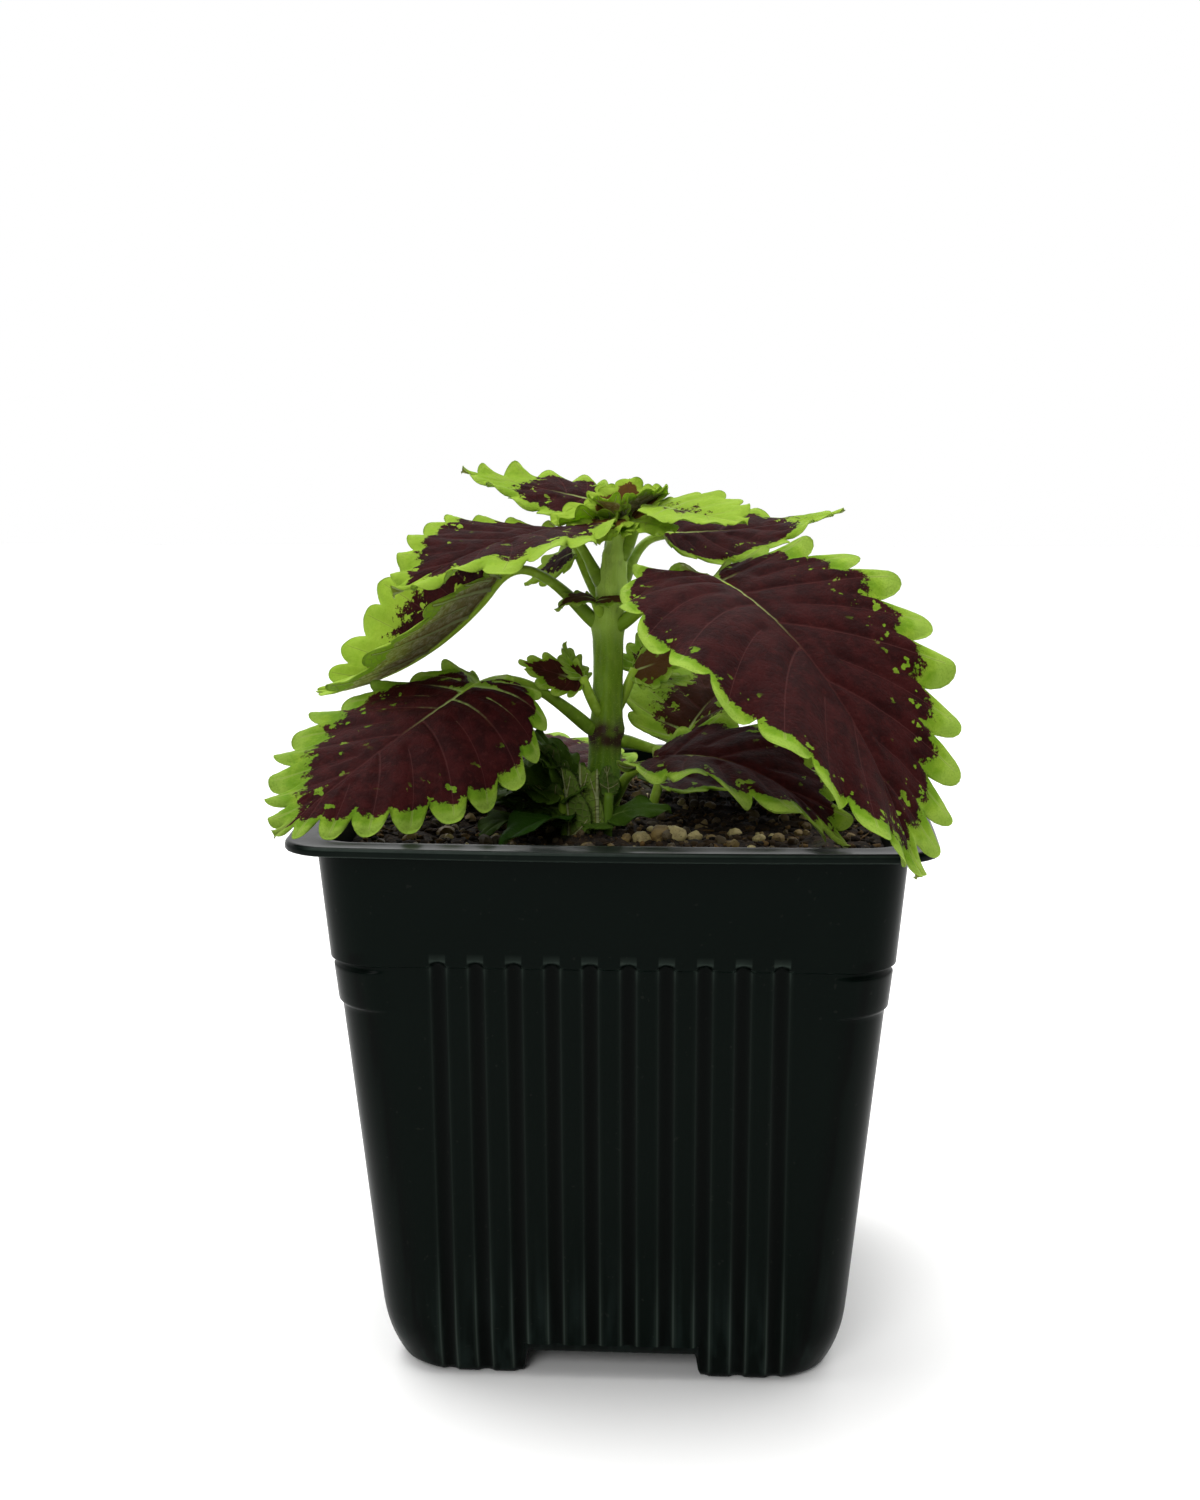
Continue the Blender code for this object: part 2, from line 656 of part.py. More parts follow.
SMALL = dict(teeth=4, tooth=1.0, ruffle=(0.3, 0.3), lobe=0.4)
SIDE_SHOOTS = {
    "side_shoot_left": (121.5, FACE_FRONT_LEFT, (-7.3, -7, 127.5), [
        Blade(base=(-7.2, -6.9, 126.8), heading=-80, turn=0, rise=14, fall=22, length=13.4,
              half_width=0.34, roll=-55, **SMALL),
        Blade(base=(-7.2, -6.9, 127), heading=-135, turn=0, rise=40, fall=60, length=9,
              half_width=0.4, **SMALL),
    ]),
    "side_shoot_right": (121.5, FACE_BACK_RIGHT, (2.6, 0.8, 128.3), [
        Blade(base=(2.4, 0.7, 127.8), heading=69, turn=0, rise=22, fall=16, length=13.2,
              half_width=0.41, roll=50, **SMALL),
        Blade(base=(2.2, 0.5, 127), heading=80, turn=-4, rise=-2, fall=-8, length=13,
              half_width=0.34, roll=18, **SMALL),
        Blade(base=(2.4, 0.7, 127.8), heading=159, turn=0, rise=48, fall=38, length=11,
              half_width=0.42, **SMALL),
    ]),
    "axil_shoot_left": (141, FACE_FRONT_LEFT, (-5, -2.8, 142.2), [
        Blade(base=(-4.8, -2.6, 142), heading=-60, turn=-14, rise=30, fall=-55, length=9.5,
              half_width=0.34, roll=-20, **SMALL),
    ]),
    "axil_shoot_back": (142, FACE_BACK_LEFT, (-9.5, 7.6, 151.6), [
        Blade(base=(-9.3, 7.2, 151.2), heading=-112, turn=0, rise=-22, fall=-42, length=14,
              half_width=0.36, roll=-20, **SMALL),
    ]),
}
TINY = dict(teeth=3, tooth=1.0, ruffle=(0.3, 0.3), lobe=0.4, turn=0)
BASAL_SHOOTS = {
    "basal_shoot_left": ((-9.5, -12.5, 90.5), (-11, -14, 107), [
        Blade(base=(-10.9, -13.9, 105.6), heading=-84, rise=34, fall=20, length=11,
              half_width=0.46, roll=-34, **TINY),
        Blade(base=(-10.4, -13.5, 101.5), heading=-36, rise=8, fall=-12, length=10,
              half_width=0.46, **TINY),
        Blade(base=(-10.8, -13.8, 104.6), heading=60, rise=35, fall=20, length=6.5,
              half_width=0.42, roll=20, **TINY),
        Blade(base=(-10.5, -13.6, 102.6), heading=-96, rise=6, fall=-6, length=10,
              half_width=0.44, roll=-40, **TINY),
        Blade(base=(-10.9, -13.9, 105.6), heading=-150, rise=36, fall=20, length=9,
              half_width=0.44, **TINY),
        Blade(base=(-10.3, -13.4, 100.6), heading=-24, rise=16, fall=-20, length=26,
              half_width=0.17, **TINY),
    ]),
    "basal_shoot_front": ((-2.6, -14.2, 90.5), (-1.8, -13.6, 106), [
        Blade(base=(-1.8, -13.6, 105.3), heading=-10, rise=76, fall=60, length=7,
              half_width=0.36, **TINY),
        Blade(base=(-2.1, -13.8, 101), heading=84, rise=8, fall=4, length=12.5,
              half_width=0.28, roll=20, **TINY),
        Blade(base=(-2.2, -13.9, 100.2), heading=-30, rise=4, fall=-10, length=8,
              half_width=0.42, **TINY),
    ]),
    "basal_shoot_back": ((4, 1, 92), (8, 3, 107), [
        Blade(base=(7.6, 2.8, 105.8), heading=114, turn=4, rise=16, fall=-18, length=62,
              half_width=0.36, curl=(-10, -10), teeth=9, ruffle=(0.5, 0.5)),
        Blade(base=(7.4, 2.7, 105), heading=170, rise=26, fall=0, length=14,
              half_width=0.42, **TINY),
    ]),
}
GROWING_TIP = ((-0.9, 0.2, 155), (-0.6, 0, 159), [
    Blade(base=(-0.8, 0.1, 157.8), heading=-54, rise=26, fall=-20, length=12,
          half_width=0.45, fold=(26, 26), **TINY),
    Blade(base=(-0.6, 0, 158), heading=24, rise=62, fall=52, length=8,
          half_width=0.48, fold=(14, 14), **TINY),
    Blade(base=(-0.6, 0, 158.2), heading=92, rise=46, fall=4, length=10,
          half_width=0.42, fold=(24, 24), **TINY),
    Blade(base=(-0.6, 0, 158), heading=-40, rise=48, fall=6, length=9,
          half_width=0.46, fold=(14, 14), **TINY),
    Blade(base=(-0.7, 0.1, 156.8), heading=8, rise=24, fall=-10, length=10,
          half_width=0.44, fold=(20, 20), **TINY),
    Blade(base=(-0.7, 0.1, 157.2), heading=-112, rise=14, fall=-4, length=9,
          half_width=0.42, fold=(10, 10), **TINY),
    Blade(base=(-0.6, 0, 158), heading=172, rise=38, fall=20, length=9,
          half_width=0.44, fold=(14, 14), **TINY),
])


def build_leaves():
    for name, (node_height, face_heading, blade) in LEAVES.items():
        leaf_from_stem(name, node_height * MM, face_heading, blade, MAROON_LEAF)


def shoot(name, stalk_controls, radius, blades, material):
    """A short side stem with small leaves on it, grown together into one piece."""
    stem = stalk(name + "_stem", stalk_controls, radius, 0.7 * radius, steps=3)
    plates = [
        object_from_bmesh(f"{name}_blade_{i}", blade_bmesh(blade, rows=(0.6,)), PARTS)
        for i, blade in enumerate(blades)
    ]
    return fuse(name, [stem] + plates, material)


def build_shoots():
    for name, (node_height, face_heading, top, blades) in SIDE_SHOOTS.items():
        middle, face = stem_at(node_height * MM)
        out = direction(face_heading)
        start = middle + out * (face + GAP)
        end = Vector(top) * MM
        material = BROWN_LEAF if name == "axil_shoot_left" else LIME_LEAF
        shoot(name, (start, start + out * 1.2 * MM, end), SHOOT_RADIUS, blades, material)
    for name, (foot, top, blades) in BASAL_SHOOTS.items():
        start, end = Vector(foot) * MM, Vector(top) * MM
        shoot(name, (start, start.lerp(end, 0.5), end), BASAL_RADIUS, blades, LIME_LEAF)
    foot, top, blades = GROWING_TIP
    start, end = Vector(foot) * MM, Vector(top) * MM
    shoot("growing_tip", (start, start.lerp(end, 0.5), end), SHOOT_RADIUS, blades, LIME_LEAF)


# Potting mix


def mix_height(x, y):
    """The mix's top: a slope up to the back, lumps, and a soft fall to the wall."""
    share = (y + 50 * MM) / (100 * MM)
    lumps = noise.noise(Vector((x, y, 0.3)) / (9 * MM)) + 0.6 * noise.noise(Vector((x, y, 0.7)) / (4 * MM))
    return MIX_FRONT + (MIX_BACK - MIX_FRONT) * share + MIX_RELIEF * lumps


def mix_body():
    rings = inside_rings(WALL + GAP, -GAP, MIX_FRONT, 7.8 * MM)[:-1]
    edge = band_half(MIX_FRONT) - WALL - GAP
    for share in MIX_RINGS:
        ring = rounded_square(edge * share, 7.8 * MM * share, 0)
        rings.append([(x, y, mix_height(x, y)) for x, y, _ in ring])
    return object_from_bmesh("mix_body", loft(rings), PARTS)


def grit_chip(name, x, y, sizes, turn):
    """One rough stone of grit, half sunk in the mix."""
    chip = bmesh.new()
    bmesh.ops.create_icosphere(chip, subdivisions=1, radius=1)
    for vert in chip.verts:
        vert.co = Vector(vert.co[k] * sizes[k] for k in range(3))
    obj = object_from_bmesh(name, chip, PARTS)
    obj.rotation_euler.z = turn
    obj.location = (x, y, mix_height(x, y) + 0.1 * MM)
    return obj


def hole_for_shoot(name, foot, top):
    """A plain round hole in the mix for a basal shoot, a little wider than the shoot."""
    start, end = Vector(foot) * MM, Vector(top) * MM
    way = (end - start).normalized()
    shape = bmesh.new()
    bmesh.ops.create_cone(
        shape, cap_ends=True, segments=12, depth=16 * MM,
        radius1=BASAL_RADIUS + GAP, radius2=BASAL_RADIUS + GAP,
    )
    cutter = cutter_from_bmesh(name, shape, HOLES)
    cutter.rotation_euler = way.to_track_quat("Z", "Y").to_euler()
    cutter.location = start + way * (8 * MM - GAP)
    return cutter


def build_mix():
    draw = random.Random(11)
    pieces = [mix_body()]
    for i in range(GRIT_CHIPS):
        x, y = draw.uniform(-41, 44) * MM, draw.uniform(-42, 44) * MM
        sizes = [draw.uniform(1.1, 2.2) * MM for _ in range(3)]
        pieces.append(grit_chip(f"chip_{i}", x, y, sizes, draw.uniform(0, math.pi)))
    bpy.context.view_layer.update()
    mix = fuse("potting_mix", pieces, PEAT)
    hole = loft([stem_ring(height * MM, GAP) for height in (STEM_FOOT / MM, 97, 104)])
    for vert in list(hole.verts)[:8]:
        vert.co.z -= GAP
    cutter_from_bmesh("stem_hole", hole, HOLES)
    for name, (foot, top, _) in BASAL_SHOOTS.items():
        hole_for_shoot("hole_" + name, foot, top)
    cut = mix.modifiers.new("holes", "BOOLEAN")
    cut.operation = "DIFFERENCE"
    cut.operand_type = "COLLECTION"
    cut.collection = HOLES
    cut.solver = "MANIFOLD"
    return mix


build_pot()
build_mix()
build_stem()
build_leaves()
build_shoots()
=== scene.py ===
"""The looks of a potted coleus in a square nursery pot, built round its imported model.

Metres, +Z up, the pot's front towards -Y. A heading is an angle in degrees from the front (-Y)
towards +X. The sections follow the plant as it is put together: pot, potting mix, main stem,
leaves, shoots, hairs, and last the room that it stands in.
"""

import math
import random
from dataclasses import dataclass

import bmesh
import bpy
import numpy as np
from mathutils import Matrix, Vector, noise


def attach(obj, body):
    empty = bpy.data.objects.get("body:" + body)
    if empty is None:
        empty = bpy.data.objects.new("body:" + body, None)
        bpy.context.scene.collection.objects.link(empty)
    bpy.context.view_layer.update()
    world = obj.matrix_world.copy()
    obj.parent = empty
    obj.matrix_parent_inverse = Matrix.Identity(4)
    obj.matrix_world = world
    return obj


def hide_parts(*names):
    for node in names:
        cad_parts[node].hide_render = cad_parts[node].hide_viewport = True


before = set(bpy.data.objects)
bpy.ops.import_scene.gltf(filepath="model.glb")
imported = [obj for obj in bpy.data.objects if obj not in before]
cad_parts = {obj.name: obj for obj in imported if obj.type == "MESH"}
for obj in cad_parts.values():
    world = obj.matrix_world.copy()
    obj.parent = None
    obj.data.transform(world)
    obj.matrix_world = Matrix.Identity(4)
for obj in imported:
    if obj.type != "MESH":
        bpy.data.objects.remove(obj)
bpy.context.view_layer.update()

# POT
# A square nursery pot: one thin shell of recycled black polypropylene, injection moulded in one shot.
# Its grooves, step and corner pads come out of the mould, the flanged rim stiffens its top, and
# notches in its foot and holes in its base let water out.

MM = 0.001
POT_HEIGHT = 104.0
RIM_HALF = 57.0
RIM_BOW = 1.6
WALL = 1.3
FOOT_HALF = 42.9
BODY_SLOPE = 0.086
FOOT_ROUND = 2.4  # how far the wall draws in at its very foot
FOOT_ROUND_TOP = 13.0
FOOT_CORNER, WALL_CORNER, BAND_CORNER, RIM_CORNER = 12.0, 10.0, 9.4, 9.0
BAND_BOTTOM = 81.0
BAND_EDGE = 0.5  # height over which the band steps out
BAND_STEP = 0.8
BAND_TOP_HALF = 52.5
PAD_BOTTOM = 73.0
PAD_STEP = 0.6
FLANGE_DROP = 1.0
BASE_UNDERSIDE = 4.2
GROOVES = 10
GROOVE_PITCH = 6.7
GROOVE_WIDTH = 2.9
GROOVE_DEPTH = 0.7
GROOVE_TOP = 82.6
NO_CUT = -9.0
NOTCH_HALF = 16.0
PLAIN_STRIP_TOP = 7.1
DRAIN_HOLE_RADIUS = 4.0
DRAIN_HOLE_REACH = 24.0
GROOVE_CENTRES = [(i - (GROOVES - 1) / 2) * GROOVE_PITCH for i in range(GROOVES)]
GROOVE_COLUMNS = (0, 0.5, 0.95, 1.22, 1.37, 1.45, 1.53, 1.7, 2.2, 3.0)
CORNER_START = 33.4
CORNER_STEPS = 10
TO_MIDDLE = (0.85, 0.6, 0.3, 0.02)
FOOT_ROWS = (0.9, 1.6, 2.6, 3.6, 4.6, 5.6, 6.4, 6.9, 7.2, 7.5, 8.2, 9.5)
WALL_ROWS = (12, 16, 22, 29, 36, 43, 50, 57, 63, 67, 70, 71.6)
PAD_ROWS = (
    (72.3, 0), (72.6, 0.12), (72.8, 0.4), (73.0, 0.55), (73.3, PAD_STEP), (75, PAD_STEP), (77, PAD_STEP),
    (78.6, PAD_STEP), (79.2, PAD_STEP), (79.7, PAD_STEP), (80.0, 0.5), (80.2, 0.2), (80.5, 0.03),
    (80.8, 0), (81.0, 0),
)
STEP_ROWS = (81.08, 81.18, 81.3, 81.42, 81.5, 81.6, 81.8, 82.0, 82.2, 82.35, 82.5, 82.65, 82.9)
BAND_ROWS = (84, 88, 93, 98, 101, 102)


def soft_step(low, high, value):
    """0 below low, 1 above high, and a smooth rise between them."""
    share = np.clip((value - low) / (high - low), 0, 1)
    return share * share * (3 - 2 * share)


def side_columns():
    """Where the pot wall's columns stand along one side, closest together at the groove edges."""
    places = {0.0}
    for centre in GROOVE_CENTRES:
        for reach in GROOVE_COLUMNS:
            places.update((round(centre + reach, 3), round(centre - reach, 3)))
    for edge in (NOTCH_HALF - 0.6, NOTCH_HALF - 0.2, NOTCH_HALF + 0.2, NOTCH_HALF + 0.6):
        places.update((edge, -edge))
    kept = []
    for place in sorted(places):
        if not kept or place - kept[-1] > 0.06:
            kept.append(place)
    return np.array([-CORNER_START] + kept + [CORNER_START])


COLUMNS = side_columns()


def half_corner(half, radius):
    """From the last column of a side round to the diagonal: x, distance out, and turn of the wall."""
    straight = half - radius
    first = math.asin(max(0.0, CORNER_START - straight) / radius)
    flat = max(0.0, straight - CORNER_START)
    whole = flat + radius * (math.pi / 4 - first)
    path = whole * np.arange(1, CORNER_STEPS + 1) / CORNER_STEPS
    turn = np.where(path <= flat, 0.0, first + (path - flat) / radius)
    x = np.where(path <= flat, CORNER_START + path, straight + radius * np.sin(turn))
    out = np.where(path <= flat, half, straight + radius * np.cos(turn))
    return x, out, turn


def groove_cut(x, z):
    """How far the round-topped grooves, the plain strip and the foot notch cut into the wall."""
    radius = (GROOVE_WIDTH**2 / 4 + GROOVE_DEPTH**2) / (2 * GROOVE_DEPTH)
    above = max(0.0, z - (GROOVE_TOP - radius))
    reach = math.sqrt(max(0.0, radius**2 - above**2))
    cut = np.full_like(x, NO_CUT)
    for centre in GROOVE_CENTRES:
        across = np.abs(x - centre)
        inside = np.sqrt(np.maximum(reach**2 - across**2, 0)) - (radius - GROOVE_DEPTH)
        cut = np.maximum(cut, np.where(across < reach, inside, NO_CUT))
    strip = FOOT_HALF + BODY_SLOPE * z - (FOOT_HALF - GROOVE_DEPTH + 0.1)
    in_strip = (np.abs(x) < NOTCH_HALF) & (z < PLAIN_STRIP_TOP)
    return np.where(in_strip, np.maximum(cut, strip), cut)


def body_half(z):
    """Half the wall's width at a height, outside."""
    return FOOT_HALF + BODY_SLOPE * z - FOOT_ROUND * max(0.0, 1 - z / FOOT_ROUND_TOP) ** 2.2


def band_half(z):
    """Half the plain upper band's width at a height, outside."""
    share = (z - BAND_BOTTOM) / (POT_HEIGHT - BAND_BOTTOM)
    return (1 - share) * (body_half(BAND_BOTTOM) + BAND_STEP) + share * BAND_TOP_HALF


def band_proud(z):
    """How far the band stands out from the wall's line at a height."""
    return BAND_STEP * float(soft_step(BAND_BOTTOM, BAND_BOTTOM + BAND_EDGE, z))


def pot_level(half, radius, z, bow=0.0, pad=0.0, cut=False, raised=0.0):
    """One closed level of the pot, its four sides alike.

    bow swells each side in its middle, pad the corners, cut is for the grooved outer wall, and
    raised lifts the level over the notch in the foot.
    """
    straight = half - radius
    beyond = np.maximum(np.abs(COLUMNS) - straight, 0)
    out = np.where(beyond > 0, straight + np.sqrt(radius**2 - beyond**2), half)
    out = out + bow * np.maximum(1 - (COLUMNS / straight) ** 2, 0)
    if cut:
        limit = -groove_cut(COLUMNS, z)
        hollow = band_proud(z) - limit
        out = out - 0.5 * (hollow + np.sqrt(hollow**2 + 0.01)) * (hollow > -1.2)
    x, reach, turn = half_corner(half, radius)
    weight = pad * np.clip(turn / 0.16, 0, 1)
    bulge = bow * np.maximum(1 - (np.minimum(x, straight) / straight) ** 2, 0)
    x, reach = x + weight * np.sin(turn), reach + bulge + weight * np.cos(turn)
    side_x = np.concatenate([-x[::-1], COLUMNS, x[:-1]])
    side_out = np.concatenate([reach[::-1], out, reach[:-1]])
    height = np.full_like(side_x, float(z))
    if raised:
        lift = raised * (1 - soft_step(NOTCH_HALF - 0.5, NOTCH_HALF + 0.5, np.abs(side_x)))
        height = height + lift * (1 - z / PLAIN_STRIP_TOP)
    ring = []
    for quarter in range(4):
        c, s = round(math.cos(quarter * math.pi / 2)), round(math.sin(quarter * math.pi / 2))
        ring.append(np.stack([c * side_x + s * side_out, s * side_x - c * side_out, height], axis=1))
    return np.concatenate(ring)


def pot_levels():
    """The shell's levels from the middle of the underside, up outside, over the rim and down inside."""
    notch = BASE_UNDERSIDE - 0.05
    foot, flange, top = body_half(0), POT_HEIGHT - FLANGE_DROP, POT_HEIGHT
    under = pot_level(foot - 2.6, 10, BASE_UNDERSIDE)
    levels = [under * (share, share, 1) for share in TO_MIDDLE[::-1]] + [under]
    for inset, radius, z in (
        (2.25, 10.4, 0.25), (2.05, 10.6, 0), (0.85, 11.8, 0), (0.4, 12, 0.15), (0.06, 12, 0.5),
    ):
        levels.append(pot_level(foot - inset, radius, z, cut=inset < 1, raised=notch))
    for z in FOOT_ROWS + WALL_ROWS:
        radius = FOOT_CORNER + (WALL_CORNER - FOOT_CORNER) * z / PAD_BOTTOM
        lift = notch if z < PLAIN_STRIP_TOP else 0
        levels.append(pot_level(body_half(z), radius, z, cut=True, raised=lift))
    for z, pad in PAD_ROWS:
        radius = WALL_CORNER - 0.5 * (z - PAD_BOTTOM) / 8
        levels.append(pot_level(body_half(z), radius, z, pad=pad, cut=True))
    for z in STEP_ROWS:
        levels.append(pot_level(band_half(z) - BAND_STEP + band_proud(z), BAND_CORNER, z, cut=True))
    for z in BAND_ROWS:
        levels.append(pot_level(band_half(z), BAND_CORNER - 0.4 * (z - 84) / 20, z))
    for outset, z, share in (
        (0.0, 102.2, 0.25), (0.12, 102.6, 0.35), (0.4, 102.9, 0.45), (0.8, flange, 0.5),
    ):
        levels.append(pot_level(band_half(flange) + outset, RIM_CORNER, z, RIM_BOW * share))
    for inset, tighter, z in (
        (1.4, 0.6, flange), (1.15, 0.5, flange - 0.12), (1.0, 0.4, flange - 0.45), (0.85, 0.3, top - 1.6),
        (0.45, 0.1, top - 1.7), (0.1, 0, top - 1.55), (0, 0, top - 1.3), (0, 0, top - 0.6),
        (0.06, 0, top - 0.35), (0.25, 0.1, top - 0.12), (0.55, 0.3, top), (1.0, 0.4, top - 0.04),
    ):
        levels.append(pot_level(RIM_HALF - inset, RIM_CORNER - tighter, z, RIM_BOW))
    for half, radius, z, share in (
        (RIM_HALF - 2.6, 8.5, top - 0.12, 0.85), (BAND_TOP_HALF + 0.4, 8.4, top - 0.05, 0.6),
        (BAND_TOP_HALF - 0.2, 8.3, top, 0.5), (BAND_TOP_HALF - 0.8, 8.2, top - 0.05, 0.42),
        (BAND_TOP_HALF - 1.15, 8.1, top - 0.3, 0.36), (BAND_TOP_HALF - WALL - 0.02, 8, top - 0.8, 0.3),
        (band_half(98) - WALL, 8, 98, 0.1), (band_half(92) - WALL, 8, 92, 0),
        (band_half(BAND_BOTTOM) - WALL, 8.1, BAND_BOTTOM + 0.5, 0),
        (body_half(BAND_BOTTOM) - WALL, 8.2, BAND_BOTTOM - 0.4, 0),
        (body_half(40) - WALL, 9, 40, 0),
        (body_half(7.5) - WALL, 9.8, 7.5, 0), (body_half(6) - WALL - 0.5, 9.5, 6, 0),
    ):
        levels.append(pot_level(half, radius, z, RIM_BOW * share))
    floor = pot_level(body_half(5.5) - WALL - 1.6, 9.2, BASE_UNDERSIDE + WALL)
    return levels + [floor] + [floor * (share, share, 1) for share in TO_MIDDLE]


def level_mesh(levels):
    """Points and faces of a closed skin through levels that all have the same number of points."""
    count = len(levels[0])
    points = np.concatenate(levels)
    j = np.arange(count)
    following = (j + 1) % count
    faces = []
    for i in range(len(levels) - 1):
        low, high = i * count, (i + 1) * count
        faces += np.stack([low + j, low + following, high + following, high + j], axis=1).tolist()
    faces.append(j[::-1].tolist())
    faces.append((j + (len(levels) - 1) * count).tolist())
    return points, faces


def new_piece(name, points, faces, materials, faces_material=None, values=None, sharp=40):
    """A mesh piece from millimetre points, with its materials and named values for each point."""
    mesh = bpy.data.meshes.new(name)
    mesh.from_pydata((np.asarray(points) * MM).tolist(), [], faces)
    for material in materials:
        mesh.materials.append(material)
    if faces_material is not None:
        mesh.polygons.foreach_set("material_index", np.asarray(faces_material, dtype=np.int32))
    for key, value in (values or {}).items():
        value = np.asarray(value, dtype=np.float32)
        kind, field = ("FLOAT_VECTOR", "vector") if value.ndim == 2 else ("FLOAT", "value")
        mesh.attributes.new(key, kind, "POINT").data.foreach_set(field, value.ravel())
    mesh.update()
    mesh.shade_smooth()
    if sharp:
        mesh.set_sharp_from_angle(angle=math.radians(sharp))
    piece = bpy.data.objects.new(name, mesh)
    bpy.context.scene.collection.objects.link(piece)
    return piece


def own_material(name, roughness, **sockets):
    """A Principled material of which the even values are set on the shader itself."""
    material = bpy.data.materials.new(name)
    material.use_nodes = True
    shader = material.node_tree.nodes["Principled BSDF"]
    shader.inputs["Roughness"].default_value = roughness
    for socket, value in sockets.items():
        shader.inputs[socket.replace("_", " ")].default_value = value
    return material, material.node_tree, shader


def node(tree, kind, *inputs, **settings):
    """Add a node, set it, and feed its first inputs with sockets or plain values."""
    made = tree.nodes.new("ShaderNode" + kind)
    for key, value in settings.items():
        setattr(made, key, value)
    for socket, value in zip(made.inputs, inputs):
        feed(tree, socket, value)
    return made


def feed(tree, socket, value):
    """Link a socket or set a plain value; None leaves the input as it is."""
    if value is None:
        return
    if isinstance(value, bpy.types.NodeSocket):
        tree.links.new(value, socket)
    else:
        socket.default_value = value


def value_of(tree, name, output="Fac"):
    """A named value that the mesh carries for each point."""
    return node(tree, "Attribute", attribute_name=name).outputs[output]


def sum_of(tree, *terms):
    """Add up sockets and numbers; a pair is a socket and what it is multiplied by."""
    total = None
    for term in terms:
        if isinstance(term, tuple):
            term = node(tree, "Math", term[0], term[1], operation="MULTIPLY").outputs[0]
        if total is None:
            total = term
        else:
            total = node(tree, "Math", total, term, operation="ADD").outputs[0]
    return total


def times(tree, first, second):
    return node(tree, "Math", first, second, operation="MULTIPLY").outputs[0]


def rise(tree, value, low, high, to_low=0.0, to_high=1.0):
    """A smooth change from to_low to to_high while value goes from low to high."""
    made = node(tree, "MapRange", value, low, high, to_low, to_high, interpolation_type="SMOOTHSTEP")
    return made.outputs[0]


def grain(tree, where, scale, detail, rough=0.5, stretch=None):
    """Noise from 0 to 1 round 0.5; a scale under 1 on an axis draws the pattern out along it."""
    if stretch:
        where = node(tree, "Mapping", where, vector_type="POINT").outputs[0]
        where.node.inputs["Scale"].default_value = stretch
    made = node(tree, "TexNoise", where)
    made.inputs["Scale"].default_value = scale
    made.inputs["Detail"].default_value = detail
    made.inputs["Roughness"].default_value = rough
    return made.outputs[0]


def blended(tree, share, first, second):
    """A colour between two, by share."""
    made = node(tree, "Mix", data_type="RGBA")
    feed(tree, made.inputs["Factor"], share)
    for socket, colour in (("A", first), ("B", second)):
        if isinstance(colour, tuple):
            colour = (*colour, 1)
        feed(tree, [i for i in made.inputs if i.name == socket and i.type == "RGBA"][0], colour)
    return [o for o in made.outputs if o.type == "RGBA"][0]


def raised_grain(tree, height, distance, strength, below=None):
    """A bump of the given depth in metres, on top of the one below."""
    made = node(tree, "Bump")
    made.inputs["Strength"].default_value = strength
    made.inputs["Distance"].default_value = distance
    feed(tree, made.inputs["Height"], height)
    feed(tree, made.inputs["Normal"], below)
    return made.outputs[0]


def place_in_object(tree):
    return node(tree, "TexCoord").outputs["Object"]


def dress(tree, shader, colour, roughness=None, normal=None):
    """Feed a shader its colour and, where they vary over the piece, its roughness and normal."""
    for socket, value in (("Base Color", colour), ("Roughness", roughness), ("Normal", normal)):
        feed(tree, shader.inputs[socket], value)


def moulded_black():
    """Black recycled plastic: satin, faintly green, drawn marks up the wall and dust at the foot, painted
    highlights along the groove and rim edges, and painted shade in the grooves.
    """
    material, tree, shader = own_material(
        "moulded_black", 0.36, Specular_IOR_Level=0.012,
        Coat_Weight=0.32, Coat_Roughness=0.16, Coat_IOR=1.14,
    )
    where = place_in_object(tree)
    height = node(tree, "SeparateXYZ", where).outputs[2]
    cloud = grain(tree, where, 38, 4, 0.6)
    drawn = grain(tree, where, 420, 2, 0.5, (1, 1, 0.05))
    foot = rise(tree, sum_of(tree, height, (cloud, 0.03)), 0.008, 0.05, 1.0, 0.0)
    dust = times(tree, foot, rise(tree, drawn, 0.42, 0.72))
    colour = blended(tree, cloud, (0.0007, 0.0022, 0.0015), (0.0016, 0.0036, 0.0026))
    colour = blended(tree, times(tree, dust, 0.8), colour, (0.008, 0.014, 0.012))
    specks = rise(tree, grain(tree, where, 900, 1), 0.72, 0.78)
    colour = blended(tree, times(tree, specks, 0.08), colour, (0.05, 0.05, 0.042))
    # Painted highlights: light lines along the groove edges, over the groove tops and on the rim's lip edges
    # stand in for the light those edges catch. The drawn marks break the lines up.
    ridge = value_of(tree, "ridge")
    near_foot, near_top = rise(tree, height, 0.006, 0.03, 1.0, 0.0), rise(tree, height, 0.078, 0.082)
    painted_edge_highlight = times(tree, ridge, sum_of(tree, 0.14, (near_foot, 0.6), (near_top, 0.3)))
    painted_edge_highlight = times(tree, painted_edge_highlight, sum_of(tree, 0.4, (drawn, 1.0)))
    colour = blended(tree, painted_edge_highlight, colour, (0.035, 0.048, 0.040))
    # The rim's lip gets a little more painted highlight.
    lip = times(tree, ridge, rise(tree, height, 0.100, 0.102))
    colour = blended(tree, times(tree, lip, 0.12), colour, (0.045, 0.058, 0.047))
    # Painted shade: the deeper a point sits in a groove, the darker it is painted.
    colour = blended(tree, times(tree, value_of(tree, "sunk"), 0.7), colour, (0.0003, 0.0005, 0.0004))
    roughness = sum_of(tree, 0.3, (cloud, 0.12), (dust, 0.2), (drawn, 0.06))
    normal = raised_grain(tree, grain(tree, where, 2600, 2, 0.6), 0.00003, 0.35)
    normal = raised_grain(tree, drawn, 0.00005, 0.4, normal)
    normal = raised_grain(tree, grain(tree, where, 60, 2), 0.0006, 0.35, normal)
    dress(tree, shader, colour, roughness, normal)
    return material


